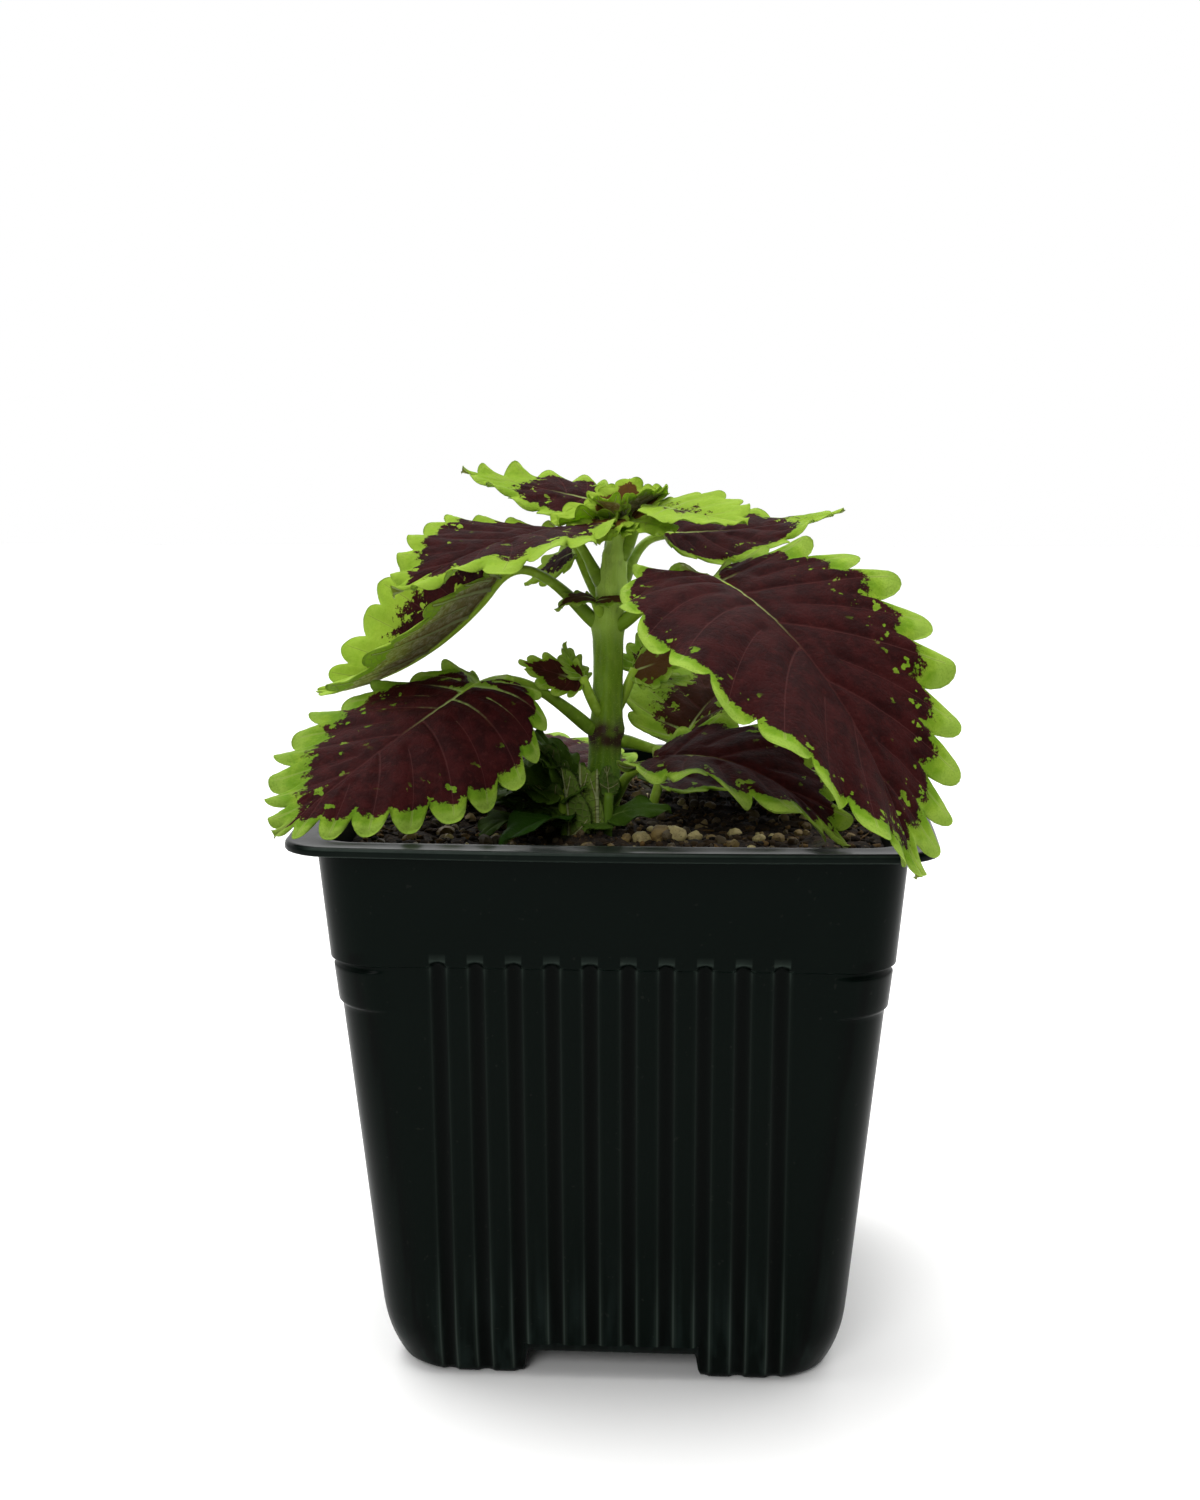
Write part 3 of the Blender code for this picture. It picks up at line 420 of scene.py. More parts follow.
def drill_drains(pot):
    """Cut the five drain holes through the base with one Boolean."""
    shape = bmesh.new()
    spots = [(0.0, 0.0)]
    spots += [(DRAIN_HOLE_REACH * a * MM, DRAIN_HOLE_REACH * b * MM) for a in (-1, 1) for b in (-1, 1)]
    for x, y in spots:
        made = bmesh.ops.create_cone(
            shape, cap_ends=True, segments=32, depth=10 * MM,
            radius1=DRAIN_HOLE_RADIUS * MM, radius2=DRAIN_HOLE_RADIUS * MM,
        )
        bmesh.ops.translate(shape, verts=made["verts"], vec=(x, y, BASE_UNDERSIDE * MM))
    mesh = bpy.data.meshes.new("drain_drill")
    shape.to_mesh(mesh)
    shape.free()
    drill = bpy.data.objects.new("drain_drill", mesh)
    bpy.context.scene.collection.objects.link(drill)
    cut = pot.modifiers.new("drains", "BOOLEAN")
    cut.operation = "DIFFERENCE"
    cut.object = drill
    cut.solver = "MANIFOLD"
    graph = bpy.context.evaluated_depsgraph_get()
    drilled = bpy.data.meshes.new_from_object(pot.evaluated_get(graph))
    pot.modifiers.clear()
    old, pot.data = pot.data, drilled
    bpy.data.meshes.remove(old)
    bpy.data.objects.remove(drill, do_unlink=True)
    pot.data.shade_smooth()
    pot.data.set_sharp_from_angle(angle=math.radians(50))


def mark_grooves(pot):
    """Tell each point how deep in a groove it is (sunk, for painted shade), and how near to an edge of one or of
    the rim (ridge, for painted highlights).
    """
    sunk, ridge = [], []
    for vert in pot.data.vertices:
        x, y, z = vert.co / MM
        across, out = (x, abs(y)) if abs(y) > abs(x) else (y, abs(x))
        nearest = min(abs(across - centre) for centre in GROOVE_CENTRES)
        outer = out > body_half(z) - GROOVE_DEPTH - 0.2 and 1 < z < GROOVE_TOP + 0.8
        depth = body_half(z) + band_proud(z) - out
        side = math.exp(-(((nearest - GROOVE_WIDTH / 2) / 0.22) ** 2)) * (z < GROOVE_TOP - 1)
        crown = math.exp(-(((z - GROOVE_TOP) / 0.4) ** 2)) * (nearest < GROOVE_WIDTH / 2)
        sunk.append(outer * min(1.0, max(0.0, depth / GROOVE_DEPTH)))
        below = POT_HEIGHT - z
        lip = math.exp(-(((below - 0.3) / 0.2) ** 2)) + 0.7 * math.exp(-(((below - 1.6) / 0.2) ** 2))
        ridge.append(max(outer * max(side, crown), lip * (out > RIM_HALF - 1.2)))
    for key, value in (("sunk", sunk), ("ridge", ridge)):
        pot.data.attributes.new(key, "FLOAT", "POINT").data.foreach_set("value", value)


pot = new_piece("nursery_pot", *level_mesh(pot_levels()), [moulded_black()], sharp=50)
drill_drains(pot)
mark_grooves(pot)
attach(pot, "root")
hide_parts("pot")

# POTTING MIX
# Peat with tan grit: one damp, crumbly body, poured in and pressed down to a little below the rim.
# Loose crumbs, fibres and stones lie on it and are pressed into it.

GAP = 0.35
MIX_FRONT = 96.0
MIX_BACK = 100.5
MIX_RELIEF = 1.2
MIX_CELLS = 84
MIX_CORNER = 7.8
CHIPS_IN_FRAME = 26
SMALL_STONES = 430
CRUMBS = 2500
FIBRE_SHARE = 0.14
STEM_FEET = ((-4.3, -6.8), (-10.2, -13.3), (-2.2, -13.9), (6.0, 2.0))
RIM_STONES = (
    (1.6, -17.0, 1.2), (4.6, -16.4, 1.9), (8.0, -16.0, 2.1), (11.4, -16.6, 2.0), (14.6, -15.4, 1.5),
    (18.0, -16.6, 1.2), (22.5, -14.0, 1.4), (10.0, -12.6, 1.2), (27.0, -16.8, 1.3), (6.2, -12.0, 0.9),
)


def mix_height(x, y):
    """The mix's top in millimetres, with the same slope and lumps as its solid."""
    share = (y + 50) / 100
    lumps = noise.noise(Vector((x, y, 0.3)) / 9) + 0.6 * noise.noise(Vector((x, y, 0.7)) / 4)
    return MIX_FRONT + (MIX_BACK - MIX_FRONT) * share + MIX_RELIEF * lumps


def crumb_relief(x, y):
    """What the crumbs of the top layer add to the slope."""
    clods = 0.45 * noise.noise(Vector((x, y, 3.0)) / 2.4) + 0.25 * noise.noise(Vector((x, y, 9.0)) / 0.9)
    return clods + 0.35 * max(0.0, noise.noise(Vector((x, y, 5.0)) / 1.5) - 0.1)


def square_spot(u, v, edge, corner):
    """Map a place in the unit square to the rounded square of the pot's inside."""
    big = max(abs(u), abs(v))
    if big == 0:
        return 0.0, 0.0
    half, radius = big * edge, big * corner
    straight = half - radius
    path = min(abs(u), abs(v)) / big * (straight + radius * math.pi / 4)
    if path <= straight:
        out, along = half, path
    else:
        turn = (path - straight) / radius
        out, along = straight + radius * math.cos(turn), straight + radius * math.sin(turn)
    x, y = (out, along) if abs(u) >= abs(v) else (along, out)
    return math.copysign(x, u), math.copysign(y, v)


def mix_mesh():
    """A closed block: a fine crumbly top, plain sides inside the pot wall and a flat bottom."""
    edge = band_half(MIX_FRONT) - WALL - GAP
    count = 2 * MIX_CELLS + 1
    points, index, faces = [], {}, []
    for i in range(count):
        for j in range(count):
            x, y = square_spot(i / MIX_CELLS - 1, j / MIX_CELLS - 1, edge, MIX_CORNER)
            index[i, j] = len(points)
            points.append((x, y, mix_height(x, y) + crumb_relief(x, y)))
    for i in range(count - 1):
        for j in range(count - 1):
            faces.append((index[i, j], index[i + 1, j], index[i + 1, j + 1], index[i, j + 1]))
    last = count - 1
    loop = [index[i, 0] for i in range(last)] + [index[last, j] for j in range(last)]
    loop += [index[i, last] for i in range(last, 0, -1)] + [index[0, j] for j in range(last, 0, -1)]
    above = loop
    for half, z in (
        (edge - 0.3, 90.0), (body_half(78) - WALL - GAP, 78.0), (body_half(9) - WALL - GAP, 9.0),
        (body_half(6) - WALL - 2.2, BASE_UNDERSIDE + WALL + GAP),
    ):
        ring = []
        for k in loop:
            x, y, _ = points[k]
            ring.append(len(points))
            points.append((x * half / edge, y * half / edge, z))
        for a in range(len(ring)):
            b = (a + 1) % len(ring)
            faces.append((above[b], above[a], ring[a], ring[b]))
        above = ring
    faces.append(above[::-1])
    return points, faces


def rough_stone(draw, middle, sizes, shape_noise, level):
    """Points and faces of one irregular stone or crumb."""
    ball = bmesh.new()
    bmesh.ops.create_icosphere(ball, subdivisions=level, radius=1)
    turn = draw.uniform(0, 2 * math.pi)
    tilt = draw.uniform(-0.5, 0.5)
    shift = Vector((draw.uniform(0, 50), draw.uniform(0, 50), draw.uniform(0, 50)))
    points = []
    for vert in ball.verts:
        swell = 1 + shape_noise * noise.noise(vert.co * 1.3 + shift)
        swell += 0.4 * shape_noise * noise.noise(vert.co * 3 + shift)
        p = Vector(vert.co[k] * sizes[k] for k in range(3)) * swell
        x, z = p.x * math.cos(tilt) - p.z * math.sin(tilt), p.x * math.sin(tilt) + p.z * math.cos(tilt)
        points.append((
            middle[0] + x * math.cos(turn) - p.y * math.sin(turn),
            middle[1] + x * math.sin(turn) + p.y * math.cos(turn),
            middle[2] + z,
        ))
    faces = [[v.index for v in face.verts] for face in ball.faces]
    ball.free()
    return points, faces


def scatter(name, spots, material, seed, shape_noise, level, sharp=None, tones=(0, 1)):
    """Many loose bits as one piece; each has one shade from 0 to 1."""
    draw = random.Random(seed)
    points, faces, shades = [], [], []
    for middle, sizes in spots:
        bit_points, bit_faces = rough_stone(draw, middle, sizes, shape_noise, level)
        faces += [[k + len(points) for k in face] for face in bit_faces]
        shades += [draw.uniform(*tones)] * len(bit_points)
        points += bit_points
    return new_piece(name, points, faces, [material], values={"shade": shades}, sharp=sharp)


def damp_peat():
    """Nearly black peat with brown lumps, tan flecks and a little green."""
    material, tree, shader = own_material("damp_peat", 0.9, Specular_IOR_Level=0.25)
    where = place_in_object(tree)
    lumps = grain(tree, where, 420, 5, 0.65)
    flecks = grain(tree, where, 1500, 2, 0.5)
    colour = blended(tree, rise(tree, lumps, 0.35, 0.7), (0.006, 0.004, 0.003), (0.03, 0.018, 0.009))
    colour = blended(tree, times(tree, rise(tree, flecks, 0.62, 0.7), 0.7), colour, (0.13, 0.08, 0.035))
    moss = times(tree, rise(tree, grain(tree, where, 95, 3), 0.56, 0.68), rise(tree, lumps, 0.4, 0.6))
    colour = blended(tree, times(tree, moss, 0.6), colour, (0.025, 0.040, 0.006))
    roughness = sum_of(tree, 0.78, (lumps, 0.25))
    normal = raised_grain(tree, flecks, 0.0003, 0.8, raised_grain(tree, lumps, 0.0008, 0.8))
    dress(tree, shader, colour, roughness, normal)
    return material


def peat_crumb():
    """Crumbs and chopped fibre, from black to red brown, each its own shade."""
    material, tree, shader = own_material("peat_crumb", 0.9, Specular_IOR_Level=0.2)
    where = place_in_object(tree)
    rough = grain(tree, where, 1800, 4, 0.7)
    tint = sum_of(tree, (value_of(tree, "shade"), 0.7), (rough, 0.3))
    colour = blended(tree, rise(tree, tint, 0.2, 0.6), (0.006, 0.004, 0.0025), (0.034, 0.020, 0.008))
    colour = blended(tree, rise(tree, tint, 0.68, 0.85), colour, (0.12, 0.070, 0.022))
    dress(tree, shader, colour, normal=raised_grain(tree, rough, 0.0003, 0.9))
    return material


def tan_grit():
    """Quartz and sandstone grit: brown to tan chips with darker grains, a few of them pale."""
    material, tree, shader = own_material("tan_grit", 0.7)
    where = place_in_object(tree)
    shade = value_of(tree, "shade")
    cloud = grain(tree, where, 600, 5, 0.6)
    colour = blended(tree, rise(tree, shade, 0.1, 0.9), (0.040, 0.027, 0.008), (0.175, 0.120, 0.032))
    colour = blended(tree, rise(tree, shade, 0.9, 0.93), colour, (0.36, 0.30, 0.12))
    colour = blended(tree, times(tree, rise(tree, cloud, 0.5, 0.68), 0.6), colour, (0.07, 0.045, 0.022))
    specks = rise(tree, grain(tree, where, 2600, 1), 0.66, 0.72)
    colour = blended(tree, times(tree, specks, 0.6), colour, (0.03, 0.02, 0.012))
    dress(tree, shader, colour, sum_of(tree, 0.55, (cloud, 0.3)), raised_grain(tree, cloud, 0.0004, 0.7))
    return material


def chip_spots():
    """The stones of the solid, in their own places, and smaller ones between them."""
    draw = random.Random(11)
    spots = []
    for _ in range(CHIPS_IN_FRAME):
        x, y = draw.uniform(-41, 44), draw.uniform(-42, 44)
        sizes = [draw.uniform(1.1, 2.2) for _ in range(3)]
        draw.uniform(0, math.pi)  # the solid's stones are turned by this; it keeps the draws in step
        spots.append(((x, y, mix_height(x, y) + 0.15), sizes))
    more = random.Random(23)
    for _ in range(SMALL_STONES):
        x, y = more.uniform(-47.5, 47.5), more.uniform(-47.5, 47.5)
        size = more.uniform(0.4, 1.15)
        sizes = [size * more.uniform(0.7, 1.3) for _ in range(3)]
        spots.append(((x, y, mix_height(x, y) + crumb_relief(x, y) + 0.15 * size), sizes))
    return spots


def crumb_spots():
    """Crumbs all over the mix, a few of them long thin fibres."""
    draw = random.Random(31)
    spots = []
    for _ in range(CRUMBS):
        x, y = draw.uniform(-49, 49), draw.uniform(-49, 49)
        size = draw.uniform(0.35, 1.1)
        sizes = [size * draw.uniform(*span) for span in ((0.6, 1.4), (0.6, 1.4), (0.5, 0.9))]
        if draw.random() < FIBRE_SHARE:
            sizes = [draw.uniform(1.6, 3.4), 0.22, 0.2]
        spots.append(((x, y, mix_height(x, y) + crumb_relief(x, y) + 0.1), sizes))
    return spots


def round_the_stems(spots, clear=3.4):
    """Leave out the loose bits that would lie in a stem."""
    return [s for s in spots if all(math.hypot(s[0][0] - x, s[0][1] - y) > clear for x, y in STEM_FEET)]


def rim_spots():
    """The pale stones that the photograph shows along the front rim."""
    for x, y, size in RIM_STONES:
        yield (x, y, mix_height(x, y) + 0.3 * size), (size, 0.8 * size, 0.75 * size)


mix = new_piece("potting_mix_top", *mix_mesh(), [damp_peat()], sharp=None)
crumbs = scatter("peat_crumbs", round_the_stems(crumb_spots()), peat_crumb(), 7, 0.5, 1)
grit_finish = tan_grit()
grit = scatter("grit_stones", round_the_stems(chip_spots(), 2.6), grit_finish, 5, 0.35, 2, sharp=28)
rim_stones = scatter("rim_stones", rim_spots(), grit_finish, 8, 0.3, 3, sharp=40, tones=(0.86, 1))
for piece in (mix, crumbs, grit, rim_stones):
    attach(piece, "root")
    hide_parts("potting_mix")

# MAIN STEM
# One squarish, softly hairy green stem out of a plain hole in the mix, swollen where each pair of
# leaves is joined to it, with a nearly black ragged band just below the second pair.

STEM_FACE = 2.55
STEM_AXIS = (
    ((-4.8, -7.2, 88.5), 1.25),
    ((-4.3, -6.8, 97.0), 1.22),
    ((-3.6, -6.2, 103.0), 1.18),
    ((-3.1, -4.6, 112.0), 1.08),
    ((-2.9, -4.0, 117.0), 1.16),
    ((-2.7, -3.0, 121.0), 1.02),
    ((-2.6, -1.4, 129.0), 1.00),
    ((-2.7, -0.2, 135.0), 1.04),
    ((-2.7, 0.0, 138.0), 1.10),
    ((-2.2, 0.0, 142.0), 1.00),
    ((-1.9, 0.0, 146.0), 0.98),
    ((-1.3, 0.0, 150.5), 0.80),
    ((-0.9, 0.2, 154.6), 0.62),
)
LEAF_NODES = (104.0, 117.0, 137.5, 145.0, 151.5)
DARK_BAND_HEIGHT = 116.0
STEM_SIDES = 40
STEM_ROWS = np.arange(88.6, 156.4, 0.45)
SQUARENESS = 3.4


def stem_at(height):
    """The stem's middle and its distance to a flat side at a height."""
    heights = [point[2] for point, _ in STEM_AXIS]
    x = np.interp(height, heights, [point[0] for point, _ in STEM_AXIS])
    y = np.interp(height, heights, [point[1] for point, _ in STEM_AXIS])
    swell = np.interp(height, heights, [swell for _, swell in STEM_AXIS])
    return np.array((x, y, height)), STEM_FACE * swell


def direction(heading):
    """The level way that a heading points."""
    h = math.radians(heading)
    return np.array((math.sin(h), -math.cos(h), 0.0))


def round_noise(turn, size, height):
    """Noise round a stalk at a height, the same after a whole turn."""
    return np.array([noise.noise(Vector((size * math.cos(t), size * math.sin(t), height))) for t in turn])


def stem_mesh():
    """Rings up the stem: square with round corners, each side a little hollow, ringed at the nodes."""
    turn = np.linspace(0, 2 * math.pi, STEM_SIDES, endpoint=False)
    beside, ahead = np.abs(np.cos(turn - math.pi / 4)), np.abs(np.sin(turn - math.pi / 4))
    square = 1 / (beside**SQUARENESS + ahead**SQUARENESS) ** (1 / SQUARENESS)
    flat = np.cos(2 * (turn - math.pi / 4)) ** 2
    levels, dark_band, young = [], [], []
    for z in STEM_ROWS:
        smooth = [stem_at(z + shift) for shift in (-1.6, -0.8, 0, 0.8, 1.6)]
        middle = np.mean([m for m, _ in smooth], axis=0)
        face = float(np.mean([f for _, f in smooth]))
        ring = sum(math.exp(-(((z - level + 0.4) / 1.4) ** 2)) for level in LEAF_NODES)
        reach = face * square * (1 - 0.05 * flat) + 0.34 * ring + 0.09 * round_noise(turn, 3, z / 2.2)
        levels.append(np.stack([
            middle[0] + reach * np.cos(turn), middle[1] + reach * np.sin(turn), np.full_like(turn, z),
        ], axis=1))
        dark = math.exp(-(((z - DARK_BAND_HEIGHT) / 2.3) ** 2))
        ragged = 0.6 + 0.8 * round_noise(turn, 1.4, z / 1.8)
        dark_band += np.clip(dark * ragged * 2.2, 0, 1).tolist()
        # Paler up the stem: partly the colour of new growth, partly painted light falling from above.
        young += [float(soft_step(96, 150, z))] * STEM_SIDES
    points, faces = level_mesh(levels)
    return points, faces, {"dark_band": dark_band, "young": young}


def green_stem():
    """Juicy green skin: darker low down, paler near the tip, streaked, with a nearly black ragged band."""
    material, tree, shader = own_material(
        "green_stem", 0.42, Subsurface_Weight=0.12, Subsurface_Radius=(0.5, 1.0, 0.15),
        Subsurface_Scale=0.0012, Specular_IOR_Level=0.1, Sheen_Weight=0.02, Sheen_Roughness=0.4,
    )
    where = place_in_object(tree)
    streaks = grain(tree, where, 900, 3, 0.6, (1, 1, 0.12))
    cloud = grain(tree, where, 240, 3)
    young = value_of(tree, "young")
    # Darker low down and paler towards the tip: partly new growth, partly painted light from above.
    colour = blended(tree, rise(tree, young, 0.0, 0.5), (0.055, 0.12, 0.006), (0.10, 0.18, 0.008))
    colour = blended(tree, rise(tree, young, 0.75, 0.95), colour, (0.30, 0.44, 0.07))
    colour = blended(tree, times(tree, rise(tree, streaks, 0.4, 0.7), 0.4), colour, (0.17, 0.27, 0.025))
    colour = blended(tree, times(tree, rise(tree, cloud, 0.55, 0.8), 0.35), colour, (0.05, 0.05, 0.012))
    colour = blended(tree, value_of(tree, "dark_band"), colour, (0.030, 0.014, 0.008))
    roughness = sum_of(tree, 0.36, (cloud, 0.2))
    normal = raised_grain(tree, streaks, 0.0003, 0.5)
    normal = raised_grain(tree, grain(tree, where, 3200, 1), 0.00012, 0.6, normal)
    dress(tree, shader, colour, roughness, normal)
    return material


stem_points, stem_faces, stem_values = stem_mesh()
stem = new_piece("main_stem_skin", stem_points, stem_faces, [green_stem()], values=stem_values, sharp=None)
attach(stem, "root")
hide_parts("main_stem")

# LEAVES
# Five pairs of leaves, each pair square to the next. A blade is one thin soft sheet, cut into round
# teeth, sunk along its veins and quilted between them: maroon in the middle, lime round the edge.

FRONT_RIGHT, BACK_RIGHT, BACK_LEFT, FRONT_LEFT = 45, 135, -135, -45
DEEPEST_CUT = 0.33
FULL_VEINS_FROM = 45  # length of a blade whose veins have their whole width
FULL_RELIEF_FROM = 40  # length of a blade that is quilted to its whole depth
MIDRIB_WIDTH, VEIN_WIDTH, LESSER_VEIN_WIDTH = 0.45, 0.5, 0.3
PETIOLE_RADIUS = 1.242
PETIOLE_ROWS = 26
RIB_ROWS = 22
HAIR_RADIUS = 0.025
LEAF_HAIRS = 420
UPPER, UNDER, STALK = 0, 1, 2


@dataclass
class Blade:
    """A toothed blade bent in space along its midrib. Lengths are in millimetres, angles in degrees.

    The midrib leaves base at heading and rise, and has turned by turn and come down to fall at its
    tip. half_width is a share of length. roll tips the blade sideways, and twist adds to it towards
    the tip. fold lifts the two halves at the midrib and curl bends them up outwards. lobe draws the
    base back round the stalk, and blunt above 4 makes the tip broader.

    teeth is the number of teeth on a side, tooth the depth of the cuts and cut a factor on that.
    frill cups each tooth, ruffle waves the margin, raised lifts single teeth as (side, tooth, lift),
    and quilt is how far the fields between the veins swell.

    band is the lime margin's width, wide a factor on it and under one for the underside. green is how
    far lime runs out from the stalk along the veins, and lime_from the share of the length beyond
    which the tip is lime. brown makes the middle olive brown, shaded makes the lime deep green as
    painted shade, and the lightness field makes it light, partly as the paler colour of new leaves and
    partly as painted light on the leaves higher up, each from 0 to 1. Where a field is a pair, it is
    for the left half, then the right, seen from the stalk.
    """

    base: tuple
    heading: float
    turn: float
    rise: float
    fall: float
    length: float
    half_width: float = 0.42
    roll: float = 0.0
    twist: float = 0.0
    fold: tuple = (0.0, 0.0)
    curl: tuple = (-10.0, -10.0)
    lobe: float = 1.0
    teeth: int = 9
    tooth: float = 2.6
    cut: tuple = (1.0, 1.0)
    wide: tuple = (1.0, 1.0)
    under: float = 1.0
    frill: float = 0.5
    blunt: float = 4.0
    raised: tuple = ()
    ruffle: tuple = (0.5, 0.5)
    band: float = 3.0
    green: float = 6.0
    lime_from: float = 1.2
    brown: float = 0.0
    shaded: float = 0.0
    young: float = 0.0
    quilt: float = 0.5

    def midrib(self):
        """Shares of the length along the midrib, with the points there and the ways it runs."""
        share = np.linspace(0, 1, 41)
        heading = np.radians(self.heading + self.turn * share)
        slope = np.radians(self.rise + (self.fall - self.rise) * share)
        ways = np.stack([
            np.sin(heading) * np.cos(slope),
            -np.cos(heading) * np.cos(slope),
            np.sin(slope),
        ], axis=1)
        steps = (ways[1:] + ways[:-1]) / 2 * self.length / (len(share) - 1)
        points = np.vstack([np.zeros(3), np.cumsum(steps, axis=0)]) + np.array(self.base)
        return share, points, ways

    def outline(self, around):
        """Flat outline from the base (0) round one side to the tip (1), as shares of the length."""
        angle = np.pi * around
        along = 0.5 * (1 - np.cos(angle)) - self.lobe * around * (1 - around) ** 6
        across = np.sin(angle) ** 0.9 * (1 + 0.25 * np.cos(angle)) * (1 - around**self.blunt)
        return along, self.half_width * across

    def place(self, along, across, lift=0.0):
        """Points in space for places on the flat blade; lift is along the surface's normal."""
        along, across = np.asarray(along, float), np.asarray(across, float)
        share, points, ways = self.midrib()
        held = np.clip(along, 0, 1)
        origin = np.stack([np.interp(held, share, points[:, k]) for k in range(3)], axis=1)
        way = np.stack([np.interp(held, share, ways[:, k]) for k in range(3)], axis=1)
        way /= np.linalg.norm(way, axis=1, keepdims=True)
        origin += way * ((along - held) * self.length)[:, None]
        heading = np.radians(self.heading + self.turn * held)
        left = np.stack([np.cos(heading), np.sin(heading), np.zeros_like(heading)], axis=1)
        up = np.cross(way, left)
        roll = np.radians(self.roll + self.twist * held)[:, None]
        left, up = left * np.cos(roll) + up * np.sin(roll), up * np.cos(roll) - left * np.sin(roll)
        is_left = across >= 0
        hand = np.where(is_left, 1.0, -1.0)
        fold = np.where(is_left, self.fold[0], self.fold[1])
        curl = np.where(is_left, self.curl[0], self.curl[1])
        reach = np.abs(across) / self.half_width
        chord = np.radians(fold + curl * reach / 2)[:, None]
        local = np.radians(fold + curl * reach)[:, None]
        hand = hand[:, None]
        out = left * hand * np.cos(chord) + up * np.sin(chord)
        normal = up * np.cos(local) - left * hand * np.sin(local)
        distance = (np.abs(across) * self.length)[:, None]
        lift = np.broadcast_to(np.asarray(lift, float), along.shape)[:, None]
        return origin + out * distance + normal * lift


def to_segments(points, starts, ends):
    """Distance from each flat point to the nearest of many short lines, and which one it is."""
    best = np.full(len(points), 1e9)
    nearest = np.zeros(len(points), int)
    for k, (a, b) in enumerate(zip(starts, ends)):
        way = b - a
        share = np.clip(((points - a) @ way) / max(way @ way, 1e-12), 0, 1)
        gap = np.linalg.norm(points - (a + share[:, None] * way), axis=1)
        closer = gap < best
        best[closer], nearest[closer] = gap[closer], k
    return best, nearest


def tooth_cut(blade, around, draw):
    """How deep the cut between teeth reaches in from the outline, 0 on a tooth and 1 in a notch."""
    place = around * blade.teeth
    beside = np.abs(place - np.round(place))
    deep = np.exp(-beside / 0.1)
    round_off = (np.cos(math.pi * place) ** 2) ** 1.7
    size = np.array([1 + 0.25 * (draw.random() - 0.5) for _ in range(blade.teeth + 1)])
    return (0.68 * deep + 0.32 * round_off) * size[np.round(place).astype(int)]


def flat_blade(blade, draw, around, share_rows):
    """The flat blade as rows (along, across, side, lift), and which row stands where in its grid.

    Also how far each point is from the toothed edge, and from the smoother line that the lime
    margin follows.
    """
    rows, columns = len(share_rows) - 1, len(around) - 1
    end_along, end_across = blade.outline(around)
    root = around**2
    reach = np.hypot(end_along - root, end_across) * blade.length
    depth = np.minimum(DEEPEST_CUT, blade.tooth / np.maximum(reach, 0.1))
    raised = {(side, tooth): lift for side, tooth, lift in blade.raised}
    flat = [(place, 0.0, 0, 0.0) for place in root]
    edge_left, lime_left = reach.tolist(), reach.tolist()
    index = {}
    for half, side in enumerate((1, -1)):
        notch = tooth_cut(blade, around, draw)
        cut = notch * blade.cut[half]
        curls = [draw.uniform(-1, 1) for _ in range(blade.teeth + 1)]
        for row in range(1, rows + 1):
            s = share_rows[row]
            for column in range(1, columns):
                u = around[column]
                tooth = int(u * blade.teeth)
                share = s * (1 - depth[column] * cut[column] * s**5)
                bow = 0.34 * s * (1 - s) * math.sin(math.pi * u) * blade.half_width
                along = root[column] + (end_along[column] - root[column]) * share - bow
                across = end_across[column] * share
                wave = math.sin(math.pi * blade.teeth * u + (0.6 if side > 0 else 2.1))
                lift = blade.ruffle[half] * share**3 * math.sin(math.pi * u) ** 0.5 * wave
                inside = math.sin(math.pi * ((u * blade.teeth) % 1.0)) ** 2
                lift += 0.10 * blade.tooth * curls[tooth] * s**7 * inside
                lift += blade.frill * s**4 * (inside - 0.4) * (1 + 0.5 * curls[tooth])
                lift += raised.get((side, tooth), 0.0) * s**5 * inside
                index[side, row, column] = len(flat)
                flat.append((along, side * across, side, lift))
                edge_left.append(reach[column] * (1 - depth[column] * cut[column] - share))
                smooth = depth[column] * blade.cut[half] * (0.3 + 0.35 * notch[column])
                lime_left.append(reach[column] * (1 - smooth - share))
    return np.array(flat), index, np.array(edge_left), np.array(lime_left)


def vein_field(blade, flat, spot, around, share_rows, per_tooth):
    """How far each flat point is from the vein that counts most there, and how wide that vein is."""
    rows, columns = len(share_rows) - 1, len(around) - 1
    plane, side_of = flat[:, :2] * blade.length, flat[:, 2]
    size = min(1.0, blade.length / FULL_VEINS_FROM)
    vein_gap, nearest = to_segments(plane, plane[:columns], plane[1:columns + 1])
    width = MIDRIB_WIDTH * (1 - 0.75 * flat[nearest, 0]) * size
    for side in (1, -1):
        own = np.where((side_of == side) | (side_of == 0))[0]
        starts, ends, widths = [], [], []
        for tooth in range(blade.teeth):
            column = tooth * per_tooth + per_tooth // 2
            lesser = blade.teeth > 6 and tooth % 2 == (side > 0)
            for row in range(rows // 3 if lesser else 0, rows - 2):
                starts.append(plane[spot(side, row, column)])
                ends.append(plane[spot(side, row + 1, column)])
                taper = (1 - 0.8 * share_rows[row]) * (1 - 0.6 * around[column])
                widths.append((LESSER_VEIN_WIDTH if lesser else VEIN_WIDTH) * taper)
        gap, nearest = to_segments(plane[own], starts, ends)
        side_width = np.maximum(np.array(widths)[nearest], 0.1) * size
        closer = gap / side_width < vein_gap[own] / width[own]
        vein_gap[own[closer]] = gap[closer]
        width[own[closer]] = side_width[closer]
    return vein_gap, width


def blade_faces(spot, rows, columns):
    """The faces of a blade's upper side, and the points round its margin in order."""
    faces, rim = [], []
    for side in (1, -1):
        for row in range(rows):
            for column in range(columns):
                corners = [
                    spot(side, row, column), spot(side, row, column + 1),
                    spot(side, row + 1, column + 1), spot(side, row + 1, column),
                ]
                kept = [c for k, c in enumerate(corners) if c not in corners[:k]]
                if len(kept) > 2:
                    faces.append(kept if side > 0 else kept[::-1])
        ring = [spot(side, rows, column) for column in range(columns + 1)]
        rim += ring if side > 0 else ring[::-1][1:-1]
    return faces, rim


